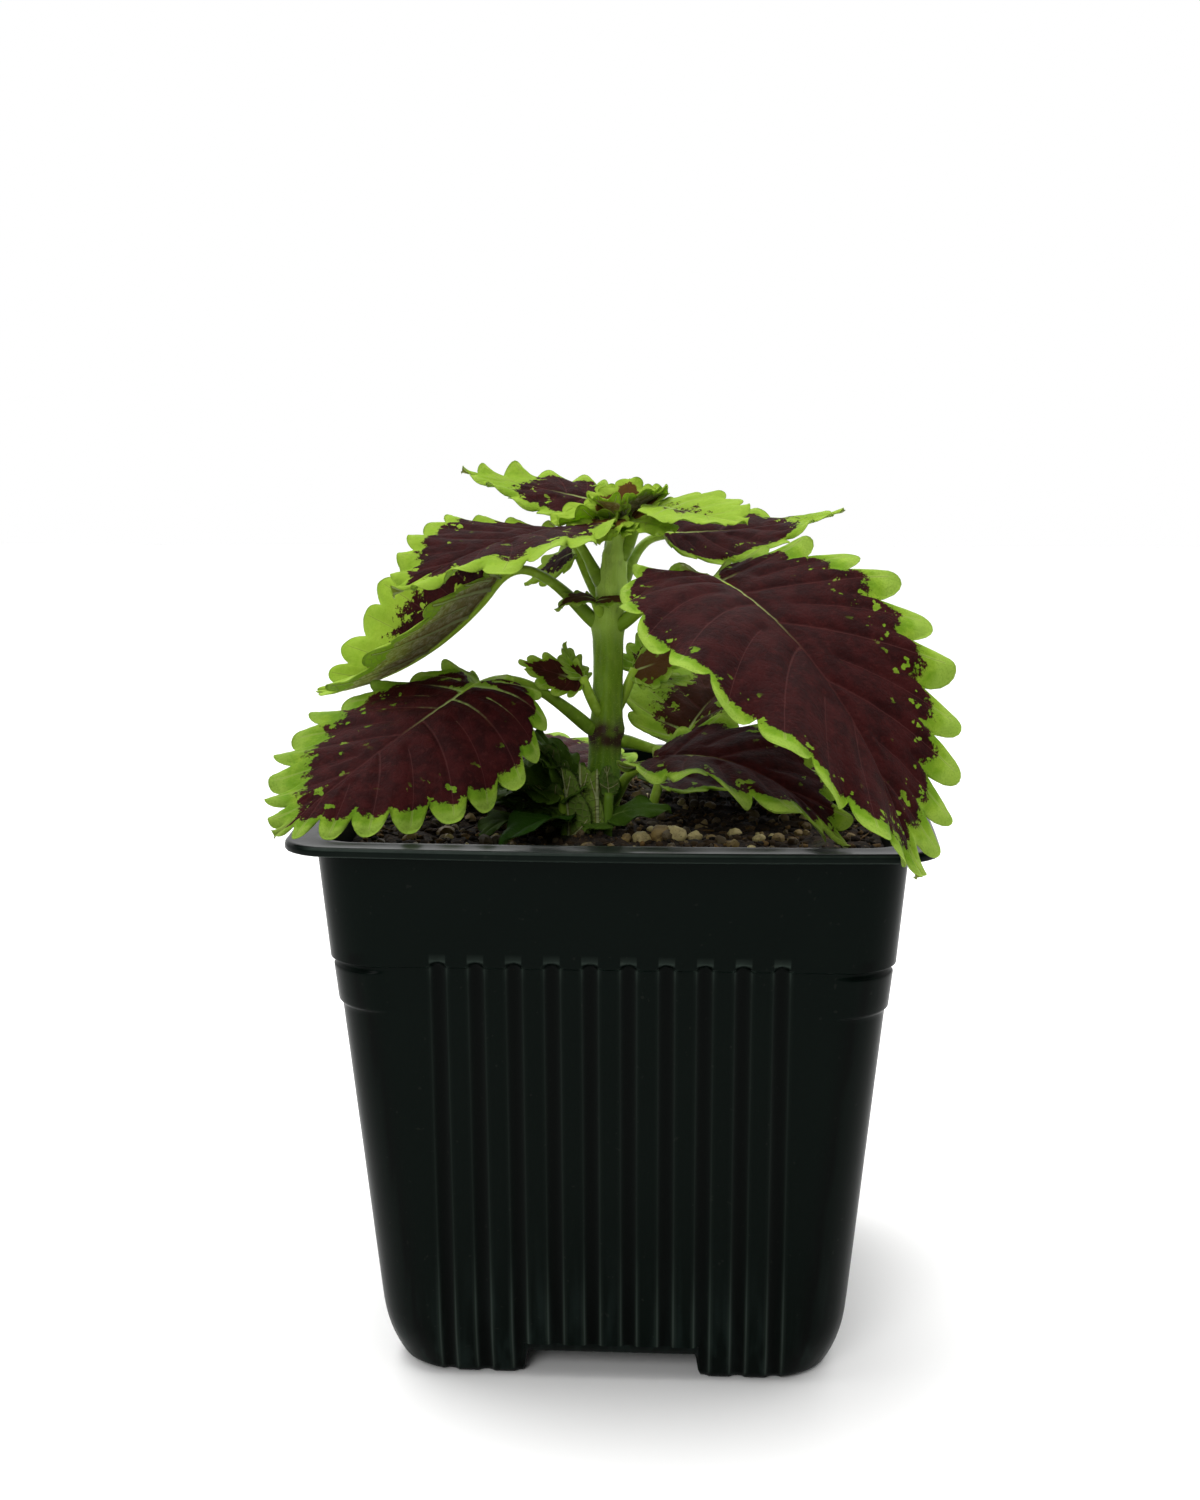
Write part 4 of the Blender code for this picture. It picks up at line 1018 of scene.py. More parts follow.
def blade_mesh(blade, seed, per_tooth=12, rows=26, thick=0.42):
    """Both faces of a blade, its narrow edge, and what each point knows of margin and veins."""
    columns = blade.teeth * per_tooth
    around = np.linspace(0, 1, columns + 1)
    step = np.linspace(0, 1, rows + 1)
    share_rows = step - 0.055 * np.sin(2 * math.pi * step)
    flat, index, edge_left, lime_left = flat_blade(blade, random.Random(seed), around, share_rows)

    def spot(side, row, column):
        """Which point stands there; the first ones, along the midrib, belong to both sides."""
        return column if row == 0 or column in (0, columns) else index[side, row, column]

    along, across, side_of, lift = flat.T
    plane = flat[:, :2] * blade.length
    vein_gap, width = vein_field(blade, flat, spot, around, share_rows, per_tooth)
    near = np.exp(-((vein_gap / np.maximum(width, 0.16)) ** 2))
    strong = np.clip(width / 0.4, 0.25, 1.2)
    pillow = 1 - np.exp(-((vein_gap / 1.5) ** 2))
    inner = soft_step(0.2, 3.2, edge_left)
    scale = min(1.0, blade.length / FULL_RELIEF_FROM)
    crinkle = np.array([
        0.55 * noise.noise(Vector((x / 2.1, y / 2.1, seed * 3.7)))
        + 0.3 * noise.noise(Vector((x / 0.95, y / 0.95, seed * 1.3)))
        for x, y in plane
    ])
    relief = blade.quilt * scale * (pillow - 0.5) * (0.25 + 0.75 * inner)
    relief = relief + blade.quilt * 0.42 * (0.4 + 0.6 * scale) * crinkle
    half = thick / 2 * (0.32 + 0.68 * soft_step(0, 1.1, edge_left))
    top_lift = lift + relief - 0.28 * near * strong * scale + half
    low_lift = lift + relief - (0.28 + 0.36 * strong * scale) * near * strong * scale - half
    top, low = blade.place(along, across, top_lift), blade.place(along, across, low_lift)
    faces, rim = blade_faces(spot, rows, columns)
    count = len(flat)
    under = [[i + count for i in face[::-1]] for face in faces]
    border = [(a, a + count, b + count, b) for a, b in zip(rim, rim[1:] + rim[:1])]
    kinds = [UPPER] * len(faces) + [UNDER] * len(under) + [UPPER] * len(border)
    values = {
        "edge": lime_left / (blade.band * np.where(side_of < 0, blade.wide[1], blade.wide[0])),
        "edge_under": lime_left / (blade.band * blade.under),
        "vein": vein_gap / np.maximum(width, 0.05),
        "out": np.hypot(plane[:, 0], plane[:, 1]) / max(blade.green, 0.5),
        "along": along,
        "to_tip": blade.lime_from - along,
        "flat": np.stack([plane[:, 0], plane[:, 1], np.full(count, seed * 11.0)], axis=1),
        "brown": np.full(count, blade.brown),
        "shaded": np.full(count, blade.shaded),
        "young": np.full(count, blade.young),
    }
    values = {key: np.concatenate([value, value]) for key, value in values.items()}
    return np.concatenate([top, low]), faces + under + border, kinds, values


def bezier(points, share):
    """The point at a share of the way along the curve that the given points pull."""
    points = [np.array(point, float) for point in points]
    while len(points) > 1:
        points = [a + (b - a) * share for a, b in zip(points, points[1:])]
    return points[0]


def stalk_mesh(path, radii, seed, up=(0, 0, 1), sides=16, channel=0.16):
    """A tapering stalk along a path, with a shallow channel along its upper side."""
    path = np.array(path)
    ways = np.gradient(path, axis=0)
    ways /= np.linalg.norm(ways, axis=1, keepdims=True)
    turn = np.linspace(0, 2 * math.pi, sides, endpoint=False)
    groove = channel * np.exp(-((np.minimum(turn, 2 * math.pi - turn) / 0.5) ** 2))
    levels = []
    normal = np.array(up, float)
    for k, (point, way, radius) in enumerate(zip(path, ways, radii)):
        normal = normal - way * (normal @ way)
        normal /= np.linalg.norm(normal)
        across = np.cross(way, normal)
        reach = radius * (1 - groove + 0.06 * round_noise(turn, 1.5, k / 3 + seed))
        levels.append(point + np.outer(reach * np.cos(turn), normal) + np.outer(reach * np.sin(turn), across))
    points, faces = level_mesh(levels)
    return points, [face[::-1] for face in faces]


def joined(parts):
    """Put meshes together: (points, faces, kinds, values) with the same named values in each."""
    points, faces, kinds = [], [], []
    values = {key: [] for key in parts[0][3]}
    start = 0
    for part_points, part_faces, part_kinds, part_values in parts:
        points.append(part_points)
        faces += [[i + start for i in face] for face in part_faces]
        kinds += list(part_kinds)
        for key in values:
            values[key].append(part_values[key])
        start += len(part_points)
    return np.concatenate(points), faces, kinds, {k: np.concatenate(v) for k, v in values.items()}


def stalk_values(count, along_stalk, shaded=0.0):
    """A stalk knows how far along it each point is; it has no margin and no veins."""
    far = np.full(count, 9.0)
    return {
        "edge": far, "edge_under": far, "vein": far, "out": far, "along": along_stalk, "to_tip": far,
        "flat": np.stack([along_stalk * 9, far, far], axis=1),
        "brown": np.zeros(count), "shaded": np.full(count, shaded), "young": np.zeros(count),
    }


def leaf_patterns(tree):
    """What both sides of a leaf share: the place on the flat blade, and coarse, ragged and fine noise."""
    flat = value_of(tree, "flat", "Vector")
    patches, ragged = grain(tree, flat, 0.3, 3, 0.55), grain(tree, flat, 0.9, 4, 0.65)
    return flat, patches, ragged, grain(tree, flat, 3.2, 3, 0.6)


def beyond_the_stalk(tree, vein, ragged, by_vein):
    """0 in the lime that runs out from the stalk, longest along the veins, and 1 beyond it."""
    reach = sum_of(tree, value_of(tree, "out"), (vein, by_vein), (ragged, 0.9), -0.45)
    return rise(tree, reach, 0.5, 0.62)


def vein_net(tree, flat, width, on_vein, between):
    """The finest net of veins, as a change from on_vein to between over a width."""
    cells = node(tree, "TexVoronoi", flat, feature="DISTANCE_TO_EDGE")
    cells.inputs["Scale"].default_value = 0.75
    return rise(tree, cells.outputs["Distance"], 0.0, width, on_vein, between)


def let_light_through(material, colour, share):
    """Mix in some light from the leaf's other side."""
    tree = material.node_tree
    shader = tree.nodes["Principled BSDF"]
    through = node(tree, "BsdfTranslucent", colour)
    both = node(tree, "MixShader", sum_of(tree, share, (value_of(tree, "young"), 0.22)))
    tree.links.new(shader.outputs[0], both.inputs[1])
    tree.links.new(through.outputs[0], both.inputs[2])
    tree.links.new(both.outputs[0], tree.nodes["Material Output"].inputs["Surface"])
    return material


def leaf_upper():
    """Velvety maroon with a ragged lime margin, lime flecks, and pale veins near the stalk."""
    material, tree, shader = own_material(
        "leaf_upper", 0.5, Specular_IOR_Level=0.022, Sheen_Weight=0.006, Sheen_Roughness=0.5,
        Sheen_Tint=(0.9, 0.6, 0.7, 1),
    )
    flat, patches, ragged, fine = leaf_patterns(tree)
    edge, vein, out = value_of(tree, "edge"), value_of(tree, "vein"), value_of(tree, "out")
    shaded, young = value_of(tree, "shaded"), value_of(tree, "young")
    spiky = grain(tree, flat, 1.6, 2, 0.7)
    margin = sum_of(tree, edge, (patches, 1.7), (ragged, 1.1), (spiky, 0.7), -1.75)
    maroon_share = rise(tree, margin, 0.88, 1.12)
    fleck_field = grain(tree, flat, 0.42, 3, 0.5)
    near_margin = rise(tree, edge, 1.9, 4.2, 1.0, 0.0)
    flecks = times(tree, rise(tree, fleck_field, 0.63, 0.655), near_margin)
    maroon_share = times(tree, maroon_share, sum_of(tree, 1.0, (flecks, -1.0)))
    maroon_share = times(tree, maroon_share, beyond_the_stalk(tree, vein, ragged, 0.15))
    to_tip = sum_of(tree, value_of(tree, "to_tip"), (ragged, -0.35), (patches, -0.35), 0.35)
    maroon_share = times(tree, maroon_share, rise(tree, to_tip, 0.0, 0.025))
    lime = blended(tree, rise(tree, patches, 0.35, 0.7), (0.135, 0.26, 0.012), (0.24, 0.37, 0.03))
    lime = blended(tree, rise(tree, edge, 0.0, 0.5, 0.55, 0.0), lime, (0.32, 0.45, 0.075))
    lime = blended(tree, times(tree, rise(tree, fine, 0.45, 0.75), 0.45), lime, (0.09, 0.21, 0.010))
    lime = blended(tree, rise(tree, vein, 0.8, 3.5, 0.5, 0.0), lime, (0.33, 0.46, 0.09))
    lime = blended(tree, rise(tree, edge, 0.25, 1.1, 0.0, 0.45), lime, (0.10, 0.19, 0.009))
    # Lighter lime and a lighter olive brown: partly the paler colour of new leaves, partly painted light on the
    # upper leaves.
    light_lime = blended(tree, ragged, (0.24, 0.40, 0.02), (0.42, 0.58, 0.07))
    lime = blended(tree, young, lime, light_lime)
    lime = blended(tree, shaded, lime, (0.016, 0.052, 0.003))
    deep = rise(tree, patches, 0.35, 0.65)
    maroon = blended(tree, deep, (0.017, 0.0031, 0.0031), (0.031, 0.0048, 0.0047))
    # Lighter, redder maroon in ragged patches: partly redder thin spots in the leaf, partly painted highlight.
    maroon = blended(tree, times(tree, rise(tree, ragged, 0.5, 0.75), 0.5), maroon, (0.054, 0.011, 0.010))
    olive_brown = blended(tree, young, (0.075, 0.035, 0.010), (0.13, 0.060, 0.014))
    maroon = blended(tree, value_of(tree, "brown"), maroon, olive_brown)
    colour = blended(tree, maroon_share, lime, maroon)
    fade = rise(tree, sum_of(tree, out, (ragged, 0.8), -0.4), 0.35, 1.1, 1.0, 0.0)
    vein_tint = blended(tree, fade, (0.095, 0.032, 0.030), (0.30, 0.40, 0.13))
    vein_share = times(tree, rise(tree, vein, 0.15, 1.2, 1.0, 0.0), sum_of(tree, 0.34, (fade, 0.45)))
    vein_share = times(tree, vein_share, sum_of(tree, 1.0, (shaded, -0.85)))
    colour = blended(tree, vein_share, colour, vein_tint)
    across = node(tree, "SeparateXYZ", flat).outputs["Y"]
    from_midrib = node(tree, "Math", across, operation="ABSOLUTE").outputs[0]
    near_stalk = rise(tree, value_of(tree, "along"), 0.06, 0.42, 1.0, 0.0)
    midrib = times(tree, rise(tree, from_midrib, 0.08, 0.36, 0.8, 0.0), near_stalk)
    midrib = times(tree, midrib, sum_of(tree, 1.0, (shaded, -0.8)))
    colour = blended(tree, midrib, colour, (0.36, 0.46, 0.15))
    normal = raised_grain(tree, vein_net(tree, flat, 0.22, 0.0, 1.0), 0.00018, 0.25)
    normal = raised_grain(tree, fine, 0.00014, 0.4, normal)
    normal = raised_grain(tree, grain(tree, flat, 11, 2), 0.00006, 0.7, normal)
    dress(tree, shader, colour, sum_of(tree, 0.44, (fine, 0.16)), normal)
    return let_light_through(material, colour, 0.22)


def leaf_under():
    """The dull underside: olive brown under the maroon, made pale as painted light shining through from behind,
    paler lime margin, a net of pale veins.
    """
    material, tree, shader = own_material(
        "leaf_under", 0.62, Specular_IOR_Level=0.08, Sheen_Weight=0.03, Sheen_Roughness=0.5,
    )
    flat, patches, ragged, fine = leaf_patterns(tree)
    vein = value_of(tree, "vein")
    margin = sum_of(tree, value_of(tree, "edge_under"), (patches, 1.5), (ragged, 1.1), -1.3)
    dark_share = rise(tree, margin, 0.9, 1.1)
    dark_share = times(tree, dark_share, beyond_the_stalk(tree, vein, ragged, 0.22))
    net = vein_net(tree, flat, 0.16, 1.0, 0.0)
    pale = blended(tree, patches, (0.24, 0.38, 0.035), (0.36, 0.50, 0.08))
    # Lighter lime on the underside too: partly new leaves, partly painted light on the upper leaves.
    light_lime = blended(tree, ragged, (0.26, 0.42, 0.02), (0.44, 0.60, 0.08))
    pale = blended(tree, value_of(tree, "young"), pale, light_lime)
    pale = blended(tree, times(tree, value_of(tree, "shaded"), 0.85), pale, (0.045, 0.13, 0.02))
    # Painted light: the olive under the maroon is made pale, as if lit through from behind.
    olive = blended(tree, rise(tree, ragged, 0.35, 0.7), (0.33, 0.27, 0.095), (0.62, 0.59, 0.35))
    colour = blended(tree, dark_share, pale, olive)
    colour = blended(tree, times(tree, net, 0.45), colour, (0.24, 0.28, 0.09))
    colour = blended(tree, rise(tree, vein, 1.6, 4.5, 0.65, 0.0), colour, (0.15, 0.105, 0.025))
    colour = blended(tree, rise(tree, vein, 0.8, 1.8, 0.95, 0.0), colour, (0.46, 0.52, 0.24))
    normal = raised_grain(tree, fine, 0.00025, 0.5, raised_grain(tree, net, 0.0003, 0.6))
    dress(tree, shader, colour, sum_of(tree, 0.55, (fine, 0.2)), normal)
    return let_light_through(material, colour, 0.45)


def leaf_stalk():
    """Petioles, shoot stalks and hairs: pale juicy green, darker at the foot, mottled and banded."""
    material, tree, shader = own_material(
        "leaf_stalk", 0.45, Subsurface_Weight=0.12, Subsurface_Radius=(0.5, 1.0, 0.15),
        Subsurface_Scale=0.001, Specular_IOR_Level=0.1, Sheen_Weight=0.02, Sheen_Roughness=0.4,
    )
    streaks = grain(tree, value_of(tree, "flat", "Vector"), 1.2, 3)
    cloud = grain(tree, place_in_object(tree), 500, 3)
    colour = blended(tree, value_of(tree, "along"), (0.085, 0.16, 0.007), (0.25, 0.38, 0.03))
    colour = blended(tree, times(tree, rise(tree, cloud, 0.5, 0.75), 0.4), colour, (0.32, 0.46, 0.08))
    colour = blended(tree, times(tree, rise(tree, streaks, 0.6, 0.8), 0.3), colour, (0.05, 0.06, 0.012))
    colour = blended(tree, times(tree, value_of(tree, "shaded"), 0.8), colour, (0.035, 0.095, 0.008))
    dress(tree, shader, colour, normal=raised_grain(tree, cloud, 0.0002, 0.6))
    return material


LEAF_FINISHES = [leaf_upper(), leaf_under(), leaf_stalk()]


def petiole_mesh(node_height, face_heading, blade, seed):
    """The leaf's own stalk: swollen at the stem, square off its flat side, then on as the midrib."""
    middle, face = stem_at(node_height)
    out = direction(math.copysign(90 + 0.45 * (abs(face_heading) - 90), face_heading))
    start = middle - out * 0.3 * face - np.array((0, 0, 3.2))
    base = np.array(blade.base, float)
    span = np.linalg.norm(base - start)
    ahead = blade.place([0.08], [0.0], -0.85)[0]
    under = blade.place([-0.04], [0.0], -0.75)[0]
    behind = under - (ahead - under) / np.linalg.norm(ahead - under) * 0.3 * span
    lean = start + (0.78 * out + np.array((0, 0, 0.62))) * 0.36 * span
    share = np.linspace(0, 1, PETIOLE_ROWS)
    path = [bezier((start, lean, behind, under, ahead), s) for s in share]
    radii = PETIOLE_RADIUS * (1 - 0.40 * share) * (1 + 0.3 * np.exp(-(((share - 0.18) / 0.14) ** 2)))
    radii = radii * (0.5 + 0.5 * soft_step(0, 0.14, share))
    rib_radii = radii[-1] * (0.9 - 0.75 * np.linspace(0.05, 1, RIB_ROWS))
    path += list(blade.place(np.linspace(0.12, 0.8, RIB_ROWS), np.zeros(RIB_ROWS), -rib_radii - 0.3))
    points, faces = stalk_mesh(path, np.concatenate([radii, rib_radii]), seed)
    along = np.repeat(np.concatenate([share, np.ones(RIB_ROWS)]), len(points) // len(path))
    return points, faces, [STALK] * len(faces), stalk_values(len(points), along, blade.shaded)


def hairs(points, faces, count, length, seed):
    """Fine soft hairs standing on a skin: thin spikes, each leaning its own way."""
    draw = np.random.default_rng(seed)
    corners = np.asarray(points)[np.array(faces)]
    normals = np.cross(corners[:, 2] - corners[:, 0], corners[:, 3] - corners[:, 1])
    areas = np.linalg.norm(normals, axis=1)
    chosen = draw.choice(len(faces), count, p=areas / areas.sum())
    u, v = draw.random((2, count, 1))
    a, b, c, d = np.swapaxes(corners[chosen], 0, 1)
    foot = (a * (1 - u) + b * u) * (1 - v) + (d * (1 - u) + c * u) * v
    lean = normals[chosen] / areas[chosen, None] + draw.normal(0, 0.3, (count, 3))
    lean /= np.linalg.norm(lean, axis=1, keepdims=True)
    side = np.cross(lean, draw.normal(0, 1, (count, 3)))
    side /= np.linalg.norm(side, axis=1, keepdims=True)
    other = np.cross(lean, side)
    spikes = []
    for turn in (0, 2 * math.pi / 3, 4 * math.pi / 3):
        spikes.append(foot - 0.05 * lean + HAIR_RADIUS * (side * math.cos(turn) + other * math.sin(turn)))
    spikes.append(foot + lean * length * draw.uniform(0.5, 1.3, (count, 1)))
    hair_points = np.stack(spikes, axis=1).reshape(-1, 3)
    spike_faces = ((0, 1, 3), (1, 2, 3), (2, 0, 3), (2, 1, 0))
    hair_faces = [[4 * k + i for i in face] for k in range(count) for face in spike_faces]
    values = stalk_values(len(hair_points), np.ones(len(hair_points)))
    return hair_points, hair_faces, [STALK] * len(hair_faces), values


def quads_of(faces):
    return [face for face in faces if len(face) == 4]


def grow_leaf(name, node_height, face_heading, blade, seed):
    """One leaf as one piece: its blade, its stalk, and hairs on the stalk and along the margin."""
    leaf_blade = blade_mesh(blade, seed)
    petiole = petiole_mesh(node_height, face_heading, blade, seed)
    to_under = len(leaf_blade[0]) // 2
    margin = [face for face in quads_of(leaf_blade[1]) if face[1] - face[0] == to_under]
    points, faces, kinds, values = joined([
        leaf_blade, petiole,
        hairs(petiole[0], quads_of(petiole[1]), LEAF_HAIRS, 0.55, seed),
        hairs(leaf_blade[0], margin, LEAF_HAIRS, 0.4, seed + 50),
    ])
    leaf = new_piece(name + "_grown", points, faces, LEAF_FINISHES, kinds, values, sharp=None)
    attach(leaf, "root")
    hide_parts(name)


LEAVES = {
    "leaf_low_right": (104, FRONT_RIGHT, Blade(
        base=(7, -24, 114.5), heading=57, turn=11, rise=17, fall=-54, length=44, half_width=0.36,
        roll=3, fold=(16, 0), curl=(-3, -8), lobe=1.6, teeth=8, ruffle=(0.8, 2.6), cut=(1.2, 2.6),
        frill=1.9, band=1.9, green=2.4, lime_from=0.9)),
    "leaf_low_back_left": (104, BACK_LEFT, Blade(
        base=(-14, 7, 106.2), heading=-152, turn=-12, rise=3, fall=-1, length=64.5, half_width=0.4,
        roll=2, fold=(0, 0), curl=(-4, -4), teeth=10, ruffle=(0.4, 0.4), band=3.2, green=5)),
    "leaf_second_left": (117, FRONT_LEFT, Blade(
        base=(-26.3, -16.5, 128), heading=-40, turn=2, rise=-21, fall=-28, length=54.5,
        half_width=0.43, roll=-2, twist=-12, fold=(-2, -1), curl=(-50, -6), lobe=1.8, teeth=12,
        ruffle=(0.8, 1.4), cut=(1.8, 1.6), frill=1.4,
        raised=tuple((1, tooth, -1.8) for tooth in range(2, 11)),
        wide=(1.1, 2.4), band=1.8, green=14, shaded=0.22)),
    "leaf_second_back": (117, BACK_RIGHT, Blade(
        base=(12, 1, 113.5), heading=156, turn=-8, rise=36, fall=-14, length=44, half_width=0.4,
        fold=(28, 30), curl=(-10, -20), teeth=9, ruffle=(0.8, 0.8),
        brown=0.2, band=8.5, green=8, young=0.25)),
    "leaf_third_right": (137.5, FRONT_RIGHT, Blade(
        base=(17.6, -17, 148), heading=30, turn=18, rise=-9, fall=-71, length=77,
        half_width=0.345, roll=4, twist=-21, fold=(8, 13), curl=(14, -42), lobe=1.6, teeth=12,
        tooth=3.2, ruffle=(0.8, 2.0), cut=(2.6, 1.1), frill=1.7,
        blunt=14, wide=(2.0, 1.0), band=1.6, green=5, lime_from=0.93)),
    "leaf_third_left": (137.5, BACK_LEFT, Blade(
        base=(-24, -3.5, 147), heading=-113, turn=-6, rise=-52, fall=-8, length=53,
        half_width=0.42, roll=-42, fold=(38, 31), curl=(5, -3), lobe=0.6, teeth=10,
        ruffle=(0.8, 0.8), cut=(1.4, 1.4), under=0.42, band=8.5, green=3, young=0.7)),
    "leaf_fourth_left": (145, FRONT_LEFT, Blade(
        base=(-11.5, -1.5, 156), heading=-32, turn=-24, rise=0, fall=-29, length=43.7,
        half_width=0.43, roll=5, twist=-16, fold=(5, 5), curl=(-16, 7), lobe=1.2, teeth=9,
        ruffle=(1.6, 0.8), cut=(1.8, 1.0), frill=2.2,
        wide=(1.5, 1.0), band=2.3, green=1.5, young=0.5)),
    "leaf_fourth_right": (145, BACK_RIGHT, Blade(
        base=(8, 9, 155), heading=115, turn=-28, rise=-2, fall=15, length=38, half_width=0.36,
        roll=8, twist=-32, fold=(18, -23), curl=(0, -9), lobe=0.5, teeth=8, ruffle=(0.6, 0.8),
        cut=(1.2, 1.2), frill=0.9, blunt=9, band=1.9, green=1.5, lime_from=0.72, young=0.35)),
    "leaf_top_left": (151.5, BACK_LEFT, Blade(
        base=(-4.5, 7, 161), heading=-113, turn=12, rise=11, fall=11, length=31,
        half_width=0.31, roll=-24, twist=25, wide=(1.5, 1.0), fold=(-8, 2), curl=(-10, -3),
        lobe=0.5, teeth=7, tooth=1.8, ruffle=(0.9, 0.5), cut=(1.5, 1.3), frill=1.2,
        raised=((-1, 4, 2.6), (-1, 5, 1.6), (1, 3, 1.5)), band=1.6, green=1.5, lime_from=0.56, young=0.35)),
    "leaf_top_right": (151.5, FRONT_RIGHT, Blade(
        base=(6.5, -1, 160.5), heading=50, turn=-2, rise=-8, fall=-6, length=23.5,
        half_width=0.41, roll=7, twist=6, fold=(12, 5), curl=(-2, -4), lobe=0.4, teeth=6,
        tooth=1.6, ruffle=(0.4, 0.4), cut=(1.3, 1.3), frill=0.7,
        blunt=7, band=9.5, green=12, lime_from=0.7, young=0.6)),
}

for seed, (name, (node_height, face_heading, blade)) in enumerate(LEAVES.items(), 1):
    grow_leaf(name, node_height, face_heading, blade, seed)

# SHOOTS AND GROWING TIP
# Short side shoots in the axils, crinkled basal shoots in shade round the foot of the stem, and the
# rosette of unfolding leaves at the top. Each is one short stem with its small leaves grown on it.

SMALL = dict(teeth=6, tooth=1.2, cut=(1.3, 1.3), ruffle=(0.5, 0.5), lobe=0.4, quilt=0.6)
TINY = dict(teeth=3, tooth=1.0, ruffle=(0.3, 0.3), lobe=0.4, quilt=0.6)
SHADE = dict(band=40, shaded=0.85)
SHEATH = dict(band=40, shaded=0.42, blunt=9)
CRINKLED = dict(teeth=4, tooth=1.3, ruffle=(0.7, 0.7), lobe=0.4, quilt=0.8, frill=0.7)
YOUNG = dict(
    teeth=4, tooth=1.5, cut=(1.3, 1.3), ruffle=(0.6, 0.6), lobe=0.4, quilt=0.8, frill=0.9, blunt=16,
    young=1,
)
TIP = dict(band=1.25, green=0.4, brown=0.9, **YOUNG)
FRESH = dict(band=9, **YOUNG)
SHOOT_ROWS = 14
BASAL_BELOW = 100
COARSE_GRID = dict(per_tooth=10, rows=20, thick=0.4)
COARSEST_GRID = dict(per_tooth=10, rows=11, thick=0.36)


def small_leaf(base, heading, rise, fall, length, half_width, *looks, **own):
    """A small blade with the looks given and, over them, its own values. Its turn is 0 unless given."""
    fields = dict(
        base=base, heading=heading, turn=0, rise=rise, fall=fall, length=length, half_width=half_width,
    )
    for look in (*looks, own):
        fields.update(look)
    return Blade(**fields)


def crinkled_leaves(seed, count, middle, spread, headings, lengths, rises, **looks):
    """Extra small leaves of a bunch, too fine for the solid, each bent and ruffled its own way."""
    draw = random.Random(seed)
    found = []
    for k in range(count):
        base = tuple(m + draw.uniform(-s, s) for m, s in zip(middle, spread))
        heading = headings[0] + (headings[1] - headings[0]) * (k + draw.random()) / count
        rise = draw.uniform(*rises)
        own = dict(
            turn=draw.uniform(-30, 30), rise=rise, fall=rise - draw.uniform(20, 75),
            length=draw.uniform(*lengths), half_width=draw.uniform(0.36, 0.5),
            roll=draw.uniform(-25, 25), twist=draw.uniform(-25, 25),
            fold=(draw.uniform(-5, 30), draw.uniform(-5, 30)),
            curl=(draw.uniform(-40, 10), draw.uniform(-40, 10)))
        found.append(Blade(base=base, heading=heading, **{**CRINKLED, **looks, **own}))
    return found


